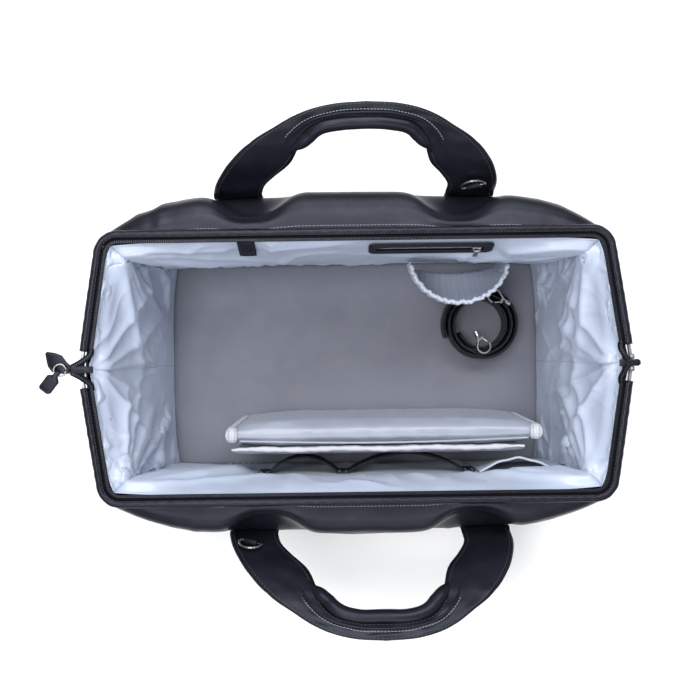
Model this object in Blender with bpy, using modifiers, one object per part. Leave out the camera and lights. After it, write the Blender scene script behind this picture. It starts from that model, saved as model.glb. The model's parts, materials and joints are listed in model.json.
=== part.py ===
"""Open wire-frame diaper bag, as an assembly of separate pieces.

Metres. +X runs along the bag, +Y to its back wall, +Z up. The origin is on the floor, under the
centre of the base. The bag stands with both halves of its frame folded open, lying level.
"""
import math

import bmesh
import bpy
import numpy as np
from mathutils import Matrix, Vector

# ---------------------------------------------------------------- driving dimensions
GAP = 0.0003                # clearance between touching pieces

PIVOT_Z = 0.205             # height of the frame's hinge line, and of the open rim
PIVOT_X = 0.2705            # from the centre to the frame's hinge eyes
PIVOT_Y = 0.006             # each frame half turns about its own pin, this far from the middle
BAR_Y = 0.133               # from the middle to the long bar of each frame half
CORNER_X = 0.2512           # where arm and bar would meet without the rounding
CORNER_R = 0.020
WIRE_R = 0.0020
SLEEVE_R = 0.0045
SLEEVE_WALL = 0.0020
SLEEVE_START_Y = 0.018      # the sleeve stops short of the hinge

TAPE_START_Y = 0.021
TAPE_OUT = 0.0048           # tape edges, inward from the bow's centre line
TAPE_IN = 0.0088
TAPE_T = 0.0008
TEETH_OFFSET = 0.0075
TEETH_W = 0.0024
TEETH_T = 0.0018

PIN_R = 0.0012
PIN_HEAD_R = 0.0024
EYE_BORE_R = 0.00125
EYE_R = 0.0036
EYE_T = 0.0024
PLATE_T = 0.0012
PLATE_IN = 0.0050           # the hinge plate's inner face, inward from the eyes
PLATE_MARGIN = 0.0042       # the plate reaches this far past its pins
PLATE_RISE = 0.0034
STEM_HALF_W = 0.0040
STEM_DROP = 0.0170
PIN_HEAD_T = 0.0010

LEATHER_T = 0.0018
LINING_T = 0.0008
FOOT_H = 0.0035
FOOT_R = 0.0065
BASE_HALF_X = 0.2290
BASE_HALF_Y = 0.1310
BASE_CORNER_R = 0.014
BASE_T = 0.0047
PATCH_HALF_X = 0.1700       # the stiffened middle of the base stands a little lower than its border
PATCH_HALF_Y = 0.0800
PATCH_T = 0.0010
FOOT_INSET_X = 0.035
FOOT_INSET_Y = 0.030
BOARD_HALF_X = 0.2190
BOARD_HALF_Y = 0.1205
BOARD_T = 0.0018
FLOOR_T = 0.0010

# corner seam of the outer shell, from the base to the rim: x, y, z
SEAM = [(0.2220, 0.1240, 0.0092), (0.2370, 0.1345, 0.060), (0.2455, 0.1390, 0.115),
        (0.2500, 0.1395, 0.162), (0.2485, 0.1355, 0.188), (0.2455, 0.1310, 0.1965),
        (0.2425, 0.1275, 0.1993)]
# how far the middle of each wall stands out past its seams, at the same levels
BACK_BULGE = [0.0050, 0.0200, 0.0310, 0.0370, 0.0385, 0.0275, 0.0075]
FRONT_BULGE = [0.0050, 0.0170, 0.0260, 0.0310, 0.0320, 0.0240, 0.0075]
GUSSET_BULGE = [0.0060, 0.0060, 0.0085, 0.0140, 0.0215, 0.0250, 0.0287]
BULGE_POWER = 4.5
HANDLE_X = 0.120            # centre of each handle strap
DIP_DEPTH = {"back": 0.024, "front": 0.021}     # the fold is pressed in where the straps pass it
DIP_WIDTH = 0.042
DIP_BOTTOM_Z = 0.155
DIP_FULL_Z = 0.178
RIM_FADE = 0.18             # the dips die out over this last part of the panel
PANEL_ACROSS = 24           # facets along and up a panel
PANEL_ALONG = 10

# corner seam of the lining, from the floor to the rim
LINING_SEAM = [(0.2115, 0.1165, 0.0128), (0.2200, 0.1130, 0.080), (0.2290, 0.1125, 0.150),
               (0.2345, 0.1165, 0.182), (0.2385, 0.1220, 0.2035)]
LINING_WALL_BULGE = [0.0035, 0.0035, 0.0035, 0.0035, 0.0042]
LINING_SIDE_BULGE = [0.0060, 0.0090, 0.0140, 0.0190, 0.0250]

# a handle's outer and inner edge (x, height), from the hinge to the middle of its grip
HANDLE_OUTER = [(0.1450, 0.1600), (0.1425, 0.1800), (0.1370, 0.1980), (0.1270, 0.2160),
                (0.1090, 0.2330), (0.0850, 0.2450), (0.0600, 0.2550), (0.0310, 0.2605), (0.0, 0.2620)]
HANDLE_INNER = [(0.0950, 0.1600), (0.0925, 0.1800), (0.0830, 0.1970), (0.0690, 0.2130),
                (0.0620, 0.2270), (0.0570, 0.2405), (0.0440, 0.2485), (0.0230, 0.2520), (0.0, 0.2525)]
# the strap's lean, from the side: distance out from the hinge, and height
HANDLE_LEAN = [(0.0, 0.1600), (0.0060, 0.1800), (0.0140, 0.1980), (0.0260, 0.2160), (0.0420, 0.2330),
               (0.0560, 0.2440), (0.0690, 0.2540), (0.0800, 0.2620)]
LEAN_SCALE = {"back": 0.83, "front": 0.99}
HANDLE_HINGE_Y = {"back": 0.1790, "front": 0.1735}
HANDLE_SHIFT = {"back": 0.0, "front": 0.012}    # where each handle sits along the bag
HANDLE_SWAY = 0.012         # the grips lean towards +X
HANDLE_HINGE_Z = 0.1600
HANDLE_T = 0.0040
ROLL_R = 0.0070
ROLL_FIRST = 4              # the grip's padded roll starts at this point of the inner edge
ANCHOR_TOP_Z = 0.1570
ANCHOR_BOTTOM_Z = 0.0750
ANCHOR_T = 0.0028
ANCHOR_HALF_W = 0.0250
ANCHOR_CLEAR = 0.0016

D_RING_R = 0.0120           # to the centre of the wire
D_RING_WIRE_R = 0.0014
D_RING_UP = 0.186           # height of the ring's bar on the strap
D_RING_SLANT = math.radians(24)
LOOP_R = 0.0031
LOOP_BORE_R = 0.0018
LOOP_LEN = 0.0140
LOOP_STANDOFF = 0.0022      # room for the loop's tail and the strap's curve

LEATHER = (0.018, 0.019, 0.026)
LEATHER_SOFT = (0.022, 0.023, 0.031)
NYLON = (0.49, 0.55, 0.66)
STEEL = (0.62, 0.62, 0.64)
BOARD_COLOR = (0.06, 0.06, 0.06)
FLOOR_COLOR = (0.07, 0.075, 0.085)
ZIP_COLOR = (0.015, 0.015, 0.020)
MAT_SILVER = (0.50, 0.51, 0.54)
MAT_WHITE = (0.75, 0.76, 0.78)

SIDES = {"back": 1.0, "front": -1.0}
HANDS = {"left": -1.0, "right": 1.0}

# ---------------------------------------------------------------- scene set-up
for old in list(bpy.data.objects):
    bpy.data.objects.remove(old, do_unlink=True)

parts = bpy.data.collections.new("diaper_bag")
cutters = bpy.data.collections.new("cutters")
bpy.context.scene.collection.children.link(parts)
bpy.context.scene.collection.children.link(cutters)


def material(name, color, roughness, metallic=0.0):
    """One Principled material."""
    made = bpy.data.materials.new(name)
    made.use_nodes = True
    shader = made.node_tree.nodes["Principled BSDF"]
    shader.inputs["Base Color"].default_value = (*color, 1.0)
    shader.inputs["Roughness"].default_value = roughness
    shader.inputs["Metallic"].default_value = metallic
    return made


def finish(name, mesh, color, roughness, metallic=0.0, smooth=False):
    """Put a mesh in the part's collection with its own material."""
    made = bpy.data.objects.new(name, mesh)
    mesh.name = name
    mesh.materials.clear()
    mesh.materials.append(material(name + "_mat", color, roughness, metallic))
    if smooth:
        for face in mesh.polygons:
            face.use_smooth = True
    parts.objects.link(made)
    return made


def mesh_from(vertices, faces):
    mesh = bpy.data.meshes.new("mesh")
    mesh.from_pydata([tuple(v) for v in vertices], [], faces)
    mesh.update()
    return mesh


def recentre(made, point):
    """Move an object's origin to a point and leave its surface where it is."""
    made.data.transform(Matrix.Translation(-Vector(point)))
    made.location = point


# ---------------------------------------------------------------- shape helpers
def spline(points, at):
    """Catmull-Rom curve through the points; at runs from 0 to 1 over them."""
    p = np.array(points, dtype=float)
    last = len(p) - 1
    place = min(max(at, 0.0), 1.0) * last
    k = min(int(place), last - 1)
    t = place - k
    p0 = p[k - 1] if k > 0 else 2 * p[0] - p[1]
    p1 = p[k]
    p2 = p[k + 1]
    p3 = p[k + 2] if k + 2 <= last else 2 * p[last] - p[last - 1]
    return 0.5 * (2 * p1 + (p2 - p0) * t + (2 * p0 - 5 * p1 + 4 * p2 - p3) * t ** 2
                  + (3 * p1 - p0 - 3 * p2 + p3) * t ** 3)


def rounded_path(points, radii, steps=5):
    """A polyline with its inner points rounded to the given radii."""
    path = [Vector(points[0])]
    for k in range(1, len(points) - 1):
        corner = Vector(points[k])
        before = (Vector(points[k - 1]) - corner).normalized()
        after = (Vector(points[k + 1]) - corner).normalized()
        half = before.angle(after) / 2
        middle = corner + (before + after).normalized() * radii[k - 1] / math.sin(half)
        reach = radii[k - 1] / math.tan(half)
        start = (corner + before * reach - middle).normalized()
        end = (corner + after * reach - middle).normalized()
        for step in range(steps + 1):
            path.append(middle + start.slerp(end, step / steps) * radii[k - 1])
    path.append(Vector(points[-1]))
    return path


def tube(points, radius, capped=True, closed=False, resolution=1):
    """A round tube along a path, as a closed mesh (or an open one without caps)."""
    curve = bpy.data.curves.new("path", "CURVE")
    curve.dimensions = "3D"
    curve.bevel_depth = radius
    curve.bevel_resolution = resolution
    curve.use_fill_caps = capped and not closed
    line = curve.splines.new("POLY")
    line.points.add(len(points) - 1)
    for spot, point in zip(line.points, points):
        spot.co = (*point, 1.0)
    line.use_cyclic_u = closed
    holder = bpy.data.objects.new("path", curve)
    cutters.objects.link(holder)
    depsgraph = bpy.context.evaluated_depsgraph_get()
    mesh = bpy.data.meshes.new_from_object(holder.evaluated_get(depsgraph))
    bpy.data.objects.remove(holder, do_unlink=True)
    weld(mesh)
    return mesh


def weld(mesh, distance=0.00001):
    work = bmesh.new()
    work.from_mesh(mesh)
    bmesh.ops.remove_doubles(work, verts=work.verts, dist=distance)
    bmesh.ops.recalc_face_normals(work, faces=work.faces)
    work.to_mesh(mesh)
    work.free()


def box_mesh(low, high, bevel=0.0, segments=1):
    """A box between two corners, with rounded edges if a bevel is given."""
    low, high = Vector(low), Vector(high)
    work = bmesh.new()
    bmesh.ops.create_cube(work, size=1.0)
    size = high - low
    bmesh.ops.scale(work, vec=size, verts=work.verts)
    bmesh.ops.translate(work, vec=(low + high) / 2, verts=work.verts)
    if bevel:
        bmesh.ops.bevel(work, geom=work.edges[:], offset=bevel, segments=segments, affect="EDGES",
                        profile=0.5)
    mesh = bpy.data.meshes.new("box")
    work.to_mesh(mesh)
    work.free()
    return mesh


def rod_mesh(start, end, radius, sides=16):
    """A plain round rod between two points."""
    start, end = Vector(start), Vector(end)
    work = bmesh.new()
    bmesh.ops.create_cone(work, cap_ends=True, segments=sides, radius1=radius, radius2=radius,
                          depth=(end - start).length)
    turn = (end - start).to_track_quat("Z", "Y").to_matrix().to_4x4()
    bmesh.ops.transform(work, matrix=Matrix.Translation((start + end) / 2) @ turn, verts=work.verts)
    mesh = bpy.data.meshes.new("rod")
    work.to_mesh(mesh)
    work.free()
    return mesh


def slab_mesh(half_x, half_y, corner_r, z_low, z_high, steps=5):
    """A level plate with rounded corners, centred on the origin in X and Y."""
    outline = []
    for quarter, (sx, sy) in enumerate([(1, 1), (-1, 1), (-1, -1), (1, -1)]):
        for step in range(steps + 1):
            angle = math.radians(90) * (quarter + step / steps)
            outline.append((sx * (half_x - corner_r) + corner_r * math.cos(angle),
                            sy * (half_y - corner_r) + corner_r * math.sin(angle)))
    count = len(outline)
    vertices = [(x, y, z_low) for x, y in outline] + [(x, y, z_high) for x, y in outline]
    faces = [list(range(count))[::-1], list(range(count, 2 * count))]
    faces += [[k, (k + 1) % count, count + (k + 1) % count, count + k] for k in range(count)]
    return mesh_from(vertices, faces)


def combine(base, tools, operation="UNION"):
    """Boolean of closed meshes; the result is one mesh."""
    holder = bpy.data.objects.new("base", base)
    cutters.objects.link(holder)
    made = []
    for tool in tools:
        cutter = bpy.data.objects.new("tool", tool)
        cutter.hide_render = True
        cutter.display_type = "WIRE"
        cutters.objects.link(cutter)
        step = holder.modifiers.new("step", "BOOLEAN")
        step.operation = operation
        step.solver = "EXACT"
        step.object = cutter
        made.append(cutter)
    depsgraph = bpy.context.evaluated_depsgraph_get()
    mesh = bpy.data.meshes.new_from_object(holder.evaluated_get(depsgraph))
    for used in made + [holder]:
        bpy.data.objects.remove(used, do_unlink=True)
    return mesh


def sheet(name, point, across, along, thickness, side, color, roughness, even=True):
    """A surface through point(u, v), u and v from 0 to 1, thickened to one side (-1, 0 or 1)."""
    vertices = [point(i / across, j / along) for j in range(along + 1) for i in range(across + 1)]
    row = across + 1
    faces = []
    for j in range(along):
        for i in range(across):
            k = j * row + i
            faces.append([k, k + 1, k + row + 1, k + row])
    made = finish(name, mesh_from(vertices, faces), color, roughness, smooth=True)
    thick = made.modifiers.new("thickness", "SOLIDIFY")
    thick.thickness = thickness
    thick.offset = side
    thick.use_even_offset = even
    return made


# ---------------------------------------------------------------- surfaces of the bag
def side_name(side):
    return "back" if side > 0 else "front"


def profile(table, z):
    """Value of a list of (value, height) pairs at a height."""
    heights = [pair[1] for pair in table]
    low = max(k for k in range(len(heights)) if k == 0 or heights[k] <= z)
    low = min(low, len(heights) - 2)
    t = (z - heights[low]) / (heights[low + 1] - heights[low])
    return float(spline([pair[0] for pair in table], (low + t) / (len(heights) - 1)))


def level_of(seam, z):
    """Where a seam reaches a height, from 0 at its foot to 1 at the rim."""
    low, high = 0.0, 1.0
    for _ in range(30):
        middle = (low + high) / 2
        if spline(seam, middle)[2] < z:
            low = middle
        else:
            high = middle
    return low


def dip(side, x, z):
    """How far the fold is pressed in beside the handle straps."""
    name = side_name(side)
    rise = min(max((z - DIP_BOTTOM_Z) / (DIP_FULL_Z - DIP_BOTTOM_Z), 0.0), 1.0)
    near = math.exp(-((abs(x - HANDLE_SHIFT[name]) - HANDLE_X) / DIP_WIDTH) ** 4)
    return DIP_DEPTH[name] * near * rise * rise * (3 - 2 * rise)


def panel_point(side, u, v):
    """Outer surface of the front or back panel; u runs from -1 to 1 along the bag."""
    seam_x, seam_y, z = spline(SEAM, v)
    bulge = spline(BACK_BULGE if side > 0 else FRONT_BULGE, v)
    x = u * seam_x
    rim_fade = min(1.0, (1.0 - v) / RIM_FADE)
    y = seam_y + bulge * (1 - abs(u) ** BULGE_POWER) - dip(side, x, z) * rim_fade
    return Vector((x, side * y, z))


def gusset_point(hand, u, v):
    """Outer surface of an end gusset; u runs from -1 (front) to 1 (back)."""
    seam_x, seam_y, z = spline(SEAM, v)
    reach = seam_y - LEATHER_T - 0.0009
    bulge = spline(GUSSET_BULGE, v)
    shape = (1 - v) * (1 - u ** 4) + v * (1 - abs(u))
    return Vector((hand * (seam_x + bulge * shape), u * reach, z))


def lining_wall_point(side, u, v):
    seam_x, seam_y, z = spline(LINING_SEAM, v)
    bulge = spline(LINING_WALL_BULGE, v)
    return Vector((u * seam_x, side * (seam_y + bulge * (1 - abs(u) ** 6)), z))


def lining_side_point(hand, u, v):
    seam_x, seam_y, z = spline(LINING_SEAM, v)
    bulge = spline(LINING_SIDE_BULGE, v)
    reach = seam_y - LINING_T - 0.0006
    shape = (1 - v) * (1 - u ** 4) + v * (1 - abs(u))
    return Vector((hand * (seam_x + bulge * shape), u * reach, z))


def lining_wall_y(z, x=0.0):
    """Distance from the middle to the lining wall's inner face."""
    v = level_of(LINING_SEAM, z)
    seam_x = spline(LINING_SEAM, v)[0]
    return lining_wall_point(1.0, min(abs(x) / seam_x, 1.0), v).y - LINING_T


def panel_y(side, x, z):
    """Distance from the middle to the panel's outer face, measured on its flat facets."""
    levels = [spline(SEAM, j / PANEL_ALONG) for j in range(PANEL_ALONG + 1)]
    j = max(k for k in range(PANEL_ALONG) if levels[k][2] <= z)
    grid = [2 * i / PANEL_ACROSS - 1 for i in range(PANEL_ACROSS + 1)]
    rows = []
    for k in (j, j + 1):
        depths = [abs(panel_point(side, u, k / PANEL_ALONG).y) for u in grid]
        rows.append(float(np.interp(x / levels[k][0], grid, depths)))
    t = (z - levels[j][2]) / (levels[j + 1][2] - levels[j][2])
    return rows[0] + (rows[1] - rows[0]) * t


# ---------------------------------------------------------------- shell
def shell():
    for name, side in SIDES.items():
        sheet(name + "_panel", lambda u, v, s=side: panel_point(s, 2 * u - 1, v), PANEL_ACROSS,
              PANEL_ALONG, LEATHER_T, side, LEATHER_SOFT, 0.42, even=False)
    for name, hand in HANDS.items():
        sheet(name + "_gusset", lambda u, v, h=hand: gusset_point(h, 2 * u - 1, v), 8, 8, LEATHER_T,
              -hand, LEATHER_SOFT, 0.42)
    for name, side in SIDES.items():
        sheet("lining_" + name, lambda u, v, s=side: lining_wall_point(s, 2 * u - 1, v), 10, 6,
              LINING_T, side, NYLON, 0.38)
    for name, hand in HANDS.items():
        sheet("lining_" + name, lambda u, v, h=hand: lining_side_point(h, 2 * u - 1, v), 8, 6,
              LINING_T, -hand, NYLON, 0.38)


def base():
    base_low = FOOT_H + GAP
    base_high = base_low + BASE_T
    board_low = base_high + GAP
    board_high = board_low + BOARD_T
    floor_low = board_high + GAP
    border = slab_mesh(BASE_HALF_X, BASE_HALF_Y, BASE_CORNER_R, base_low + PATCH_T, base_high)
    patch = slab_mesh(PATCH_HALF_X, PATCH_HALF_Y, BASE_CORNER_R, base_low, base_low + PATCH_T * 2)
    finish("base_panel", combine(border, [patch]), LEATHER, 0.5)
    board = slab_mesh(BOARD_HALF_X, BOARD_HALF_Y, 0.010, board_low, board_high)
    finish("base_board", board, BOARD_COLOR, 0.8)
    floor = slab_mesh(BOARD_HALF_X - 0.001, BOARD_HALF_Y - 0.001, 0.008, floor_low, floor_low + FLOOR_T)
    finish("lining_floor", floor, FLOOR_COLOR, 0.6)
    for row, side in SIDES.items():
        for hand_name, hand in HANDS.items():
            centre = Vector((hand * (BASE_HALF_X - FOOT_INSET_X), side * (BASE_HALF_Y - FOOT_INSET_Y), 0.0))
            stud = rod_mesh(centre, centre + Vector((0, 0, FOOT_H)), FOOT_R, 16)
            foot = finish(f"foot_{row}_{hand_name}", stud, STEEL, 0.25, 1.0)
            edge = foot.modifiers.new("edge", "BEVEL")
            edge.width = 0.0008
            edge.segments = 1
            edge.limit_method = "ANGLE"


# ---------------------------------------------------------------- frame
def arm_x(y):
    """X of the bow's arm centre line at a distance from the middle."""
    return PIVOT_X + (CORNER_X - PIVOT_X) * (abs(y) - PIVOT_Y) / (BAR_Y - PIVOT_Y)


def bow_path(side, start_y, inset=0.0, lift=0.0):
    """U-shaped path beside the bow's centre line, from the left arm round to the right one."""
    arm = Vector((CORNER_X - PIVOT_X, BAR_Y - PIVOT_Y, 0)).normalized()
    square = Vector((arm.y, -arm.x, 0))
    foot = Vector((arm_x(start_y), start_y, 0)) - square * inset
    bar = BAR_Y - inset
    corner = foot + arm * ((bar - foot.y) / arm.y)
    z = PIVOT_Z + lift
    points = [(-foot.x, side * foot.y, z), (-corner.x, side * bar, z), (corner.x, side * bar, z),
              (foot.x, side * foot.y, z)]
    radius = CORNER_R - inset
    return rounded_path(points, [radius, radius])


def swept_section(side, start_y, section):
    """A closed section of (inset, lift) corners carried along the bow, with flat ends."""
    rails = [bow_path(side, start_y, inset, lift) for inset, lift in section]
    count = len(rails[0])
    corners = len(rails)
    vertices = [rails[c][k] for k in range(count) for c in range(corners)]
    last = (count - 1) * corners
    faces = [list(range(corners)), [last + c for c in range(corners)][::-1]]
    for k in range(count - 1):
        for c in range(corners):
            here = k * corners
            after = (c + 1) % corners
            faces.append([here + c, here + corners + c, here + corners + after, here + after])
    mesh = mesh_from(vertices, faces)
    weld(mesh)
    return mesh


def frame_half(name, side):
    wire_path = bow_path(side, PIVOT_Y)
    wire = tube(wire_path, WIRE_R, resolution=1)
    eyes = []
    bores = []
    for hand in (-1.0, 1.0):
        centre = Vector((hand * PIVOT_X, side * PIVOT_Y, PIVOT_Z))
        half = Vector((EYE_T / 2, 0, 0))
        eyes.append(rod_mesh(centre - half, centre + half, EYE_R, 16))
        bores.append(rod_mesh(centre - half * 3, centre + half * 3, EYE_BORE_R, 20))
    bow = combine(combine(wire, eyes), bores, "DIFFERENCE")
    hinge = Vector((0, side * PIVOT_Y, PIVOT_Z))
    recentre(finish(name + "_bow", bow, STEEL, 0.35, 1.0, smooth=True), hinge)

    cover = finish(name + "_sleeve", tube(bow_path(side, SLEEVE_START_Y), SLEEVE_R, capped=False),
                   LEATHER, 0.42, smooth=True)
    recentre(cover, hinge)
    wall = cover.modifiers.new("wall", "SOLIDIFY")
    wall.thickness = SLEEVE_WALL
    wall.offset = -1.0

    face = TAPE_T / 2
    coil_out = TEETH_OFFSET - TEETH_W / 2
    coil_in = TEETH_OFFSET + TEETH_W / 2
    section = [(TAPE_OUT, -face), (TAPE_OUT, face), (coil_out, face), (coil_out, face + TEETH_T),
               (coil_in, face + TEETH_T), (coil_in, face), (TAPE_IN, face), (TAPE_IN, -face)]
    zipper = swept_section(side, TAPE_START_Y, section)
    recentre(finish(name + "_zip_half", zipper, ZIP_COLOR, 0.7), hinge)


def hinge_plate(name, hand):
    """A steel link: two pins with heads carry the eyes of both bows, a stem sits in the gusset."""
    inner = PIVOT_X - PLATE_IN
    plate = box_mesh((inner, -PIVOT_Y - PLATE_MARGIN, PIVOT_Z - PLATE_MARGIN),
                     (inner + PLATE_T, PIVOT_Y + PLATE_MARGIN, PIVOT_Z + PLATE_RISE))
    stem = box_mesh((inner, -STEM_HALF_W, PIVOT_Z - STEM_DROP),
                    (inner + PLATE_T, STEM_HALF_W, PIVOT_Z - PLATE_MARGIN + 0.0012))
    tools = [stem]
    head = PIVOT_X + WIRE_R + GAP
    for y in (-PIVOT_Y, PIVOT_Y):
        tools.append(rod_mesh((inner + 0.0005, y, PIVOT_Z), (head + 0.0006, y, PIVOT_Z), PIN_R, 20))
        tools.append(rod_mesh((head, y, PIVOT_Z), (head + PIN_HEAD_T, y, PIVOT_Z), PIN_HEAD_R, 16))
    mesh = combine(plate, tools)
    if hand < 0:
        mesh.transform(Matrix.Rotation(math.pi, 4, "Z"))
    finish(name, mesh, STEEL, 0.3, 1.0)


# ---------------------------------------------------------------- main zipper ends and puller
ZIP_END_LOW = PIVOT_Z + 0.0042
ZIP_END_T = 0.0010
ZIP_END_LEFT_T = 0.0016
ZIP_END_HALF_W = 0.0034
ZIP_END_ROOT_X = 0.2580
ZIP_END_TIP_X = 0.2790
ZIP_END_BLOCK = [(-0.2790, ZIP_END_HALF_W), (-0.2840, 0.0082), (-0.2885, 0.0145), (-0.2950, 0.0172),
                 (-0.3030, 0.0184), (-0.3050, 0.0166), (-0.3026, 0.0040), (-0.2980, -0.0022),
                 (-0.2930, -ZIP_END_HALF_W)]     # round the sewn leather block at the closing end
SLIDER_X = -0.2840
SLIDER_HALF_L = 0.0045
SLIDER_HALF_W = 0.0036
SLIDER_BODY_T = 0.0018
BRIDGE_HALF_L = 0.0038
BRIDGE_LOW = 0.0030         # the slider's bridge runs between these heights above its body
BRIDGE_HIGH = 0.0042
RING_R = 0.0060
RING_WIRE_R = 0.0009
TAG_HALF_W = 0.0064
TAG_T = 0.0038
NECK_HALF_W = 0.0020


def plate_outline(outline, z_low, z_high):
    """An upright prism over an outline in the XY plane."""
    count = len(outline)
    vertices = [(x, y, z_low) for x, y in outline] + [(x, y, z_high) for x, y in outline]
    faces = [list(range(count))[::-1], list(range(count, 2 * count))]
    faces += [[k, (k + 1) % count, count + (k + 1) % count, count + k] for k in range(count)]
    mesh = mesh_from(vertices, faces)
    weld(mesh)
    return mesh


def zipper_ends():
    """Leather ends sewn over both ends of the zipper, the closing one with a block to hold."""
    w = ZIP_END_HALF_W
    left = [(-ZIP_END_ROOT_X, -w), (-ZIP_END_ROOT_X, w)] + ZIP_END_BLOCK
    finish("zip_end_left", plate_outline(left, ZIP_END_LOW, ZIP_END_LOW + ZIP_END_LEFT_T), LEATHER, 0.45)
    shoulder = ZIP_END_TIP_X - 0.0020
    right = [(ZIP_END_ROOT_X, -w), (shoulder, -w), (ZIP_END_TIP_X, -w / 2), (ZIP_END_TIP_X, w / 2),
             (shoulder, w), (ZIP_END_ROOT_X, w)]
    finish("zip_end_right", plate_outline(right, ZIP_END_LOW, ZIP_END_LOW + ZIP_END_T), LEATHER, 0.45)


def main_slider():
    """The slider, with a bridge on two legs for the ring to pass under."""
    low = ZIP_END_LOW + ZIP_END_LEFT_T + GAP
    top = low + SLIDER_BODY_T
    body = box_mesh((SLIDER_X - SLIDER_HALF_L, -SLIDER_HALF_W, low),
                    (SLIDER_X + SLIDER_HALF_L, SLIDER_HALF_W, top), 0.0005)
    legs = [box_mesh((SLIDER_X + x - 0.0006, -0.0007, top - 0.0004),
                     (SLIDER_X + x + 0.0006, 0.0007, top + 0.0040)) for x in (-0.0032, 0.0032)]
    bar = box_mesh((SLIDER_X - BRIDGE_HALF_L, -0.0007, top + BRIDGE_LOW),
                   (SLIDER_X + BRIDGE_HALF_L, 0.0007, top + BRIDGE_HIGH))
    finish("main_slider", combine(body, legs + [bar]), STEEL, 0.3, 1.0)
    return Vector((SLIDER_X + 0.0008, 0.0, top + 0.0016))


def circle(centre, radius, axis_a, axis_b, count=20):
    """Points round a circle in the plane of two axes."""
    return [Vector(centre) + radius * (math.cos(t) * Vector(axis_a) + math.sin(t) * Vector(axis_b))
            for t in [2 * math.pi * k / count for k in range(count)]]


def main_ring_and_puller(pivot):
    """The ring passes under the slider's bail and carries a leather pull tag."""
    centre = pivot - Vector((RING_R, 0, 0))
    ring = tube(circle(centre, RING_R, (1, 0, 0), (0, 1, 0)), RING_WIRE_R, closed=True)
    made = finish("main_ring", ring, STEEL, 0.25, 1.0, smooth=True)
    recentre(made, pivot)
    far = Vector((centre.x - RING_R * math.cos(math.radians(50)),
                  centre.y - RING_R * math.sin(math.radians(50)), centre.z))
    along = Vector((-math.cos(math.radians(52)), -math.sin(math.radians(52)), 0))
    across = Vector((-along.y, along.x, 0))
    turn = Matrix((along, across, Vector((0, 0, 1)))).transposed().to_4x4()
    tag = box_mesh((0.0030, -TAG_HALF_W, -TAG_T / 2), (0.0200, TAG_HALF_W, TAG_T / 2), 0.0009, 1)
    neck = box_mesh((-0.0034, -NECK_HALF_W, -TAG_T / 2), (0.0040, NECK_HALF_W, TAG_T / 2))
    channel = box_mesh((-0.0020, -0.0100, -0.0014), (0.0014, 0.0100, 0.0014))
    tag = combine(combine(tag, [neck]), [channel], "DIFFERENCE")
    tag.transform(Matrix.Translation(far) @ turn)
    puller = finish("main_puller", tag, LEATHER, 0.45)
    recentre(puller, far)


# ---------------------------------------------------------------- handles
def strap_y(side, z):
    """Distance from the middle to a handle strap's middle surface at a height."""
    name = side_name(side)
    return HANDLE_HINGE_Y[name] + LEAN_SCALE[name] * profile(HANDLE_LEAN, z)


def handle_point(side, across, along):
    """Middle surface of a handle; along runs from the left hinge (0) over the grip to the right."""
    half = 1 - abs(2 * along - 1)
    outer = spline(HANDLE_OUTER, half)
    inner = spline(HANDLE_INNER, half)
    x, z = outer + (inner - outer) * across
    hand = -1.0 if along < 0.5 else 1.0
    rise = (z - HANDLE_HINGE_Z) / (HANDLE_OUTER[-1][1] - HANDLE_HINGE_Z)
    x = hand * x + HANDLE_SHIFT[side_name(side)] + HANDLE_SWAY * rise
    return Vector((x, side * strap_y(side, z), z))


def handle(name, side):
    hinge = Vector((0, side * HANDLE_HINGE_Y[name], HANDLE_HINGE_Z))
    strap = sheet(name + "_handle", lambda u, v: handle_point(side, u, v), 3, 24, HANDLE_T, 0,
                  LEATHER, 0.42)
    recentre(strap, hinge)
    steps = 2 * (len(HANDLE_INNER) - 1)
    roll = []
    for k in range(ROLL_FIRST, steps - ROLL_FIRST + 1):
        here = handle_point(side, 1.0, k / steps)
        before = handle_point(side, 1.0, (k - 0.5) / steps)
        after = handle_point(side, 1.0, (k + 0.5) / steps)
        ahead = (after - before).normalized()
        into = here - handle_point(side, 0.8, k / steps)
        into = (into - ahead * into.dot(ahead)).normalized()
        roll.append(here + into * (ROLL_R + 0.0006))
    made = finish(name + "_handle_roll", tube(roll, ROLL_R, resolution=2), LEATHER, 0.42, smooth=True)
    recentre(made, hinge)


def handle_anchors():
    """The straps' lower ends, sewn flat on the panels under the fold."""
    for name, side in SIDES.items():
        for hand_name, hand in HANDS.items():
            def point(u, v, s=side, h=hand):
                x = h * HANDLE_X + HANDLE_SHIFT[side_name(s)] + (2 * u - 1) * ANCHOR_HALF_W
                z = ANCHOR_BOTTOM_Z + (ANCHOR_TOP_Z - ANCHOR_BOTTOM_Z) * v
                return Vector((x, s * (panel_y(s, x, z) + ANCHOR_CLEAR), z))
            sheet(f"{name}_anchor_{hand_name}", point, 6, 8, ANCHOR_T, -side, LEATHER, 0.42)


def strap_frame(side, hand, z):
    """Place, and up and normal directions, on the inner face of a handle strap."""
    low = Vector((0, side * strap_y(side, z - 0.004), z - 0.004))
    high = Vector((0, side * strap_y(side, z + 0.004), z + 0.004))
    up = (high - low).normalized()
    inward = Vector((0, -side * up.z, abs(up.y)))
    x = hand * HANDLE_X + HANDLE_SHIFT[side_name(side)]
    return Vector((x, side * strap_y(side, z), z)), up, inward


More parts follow.
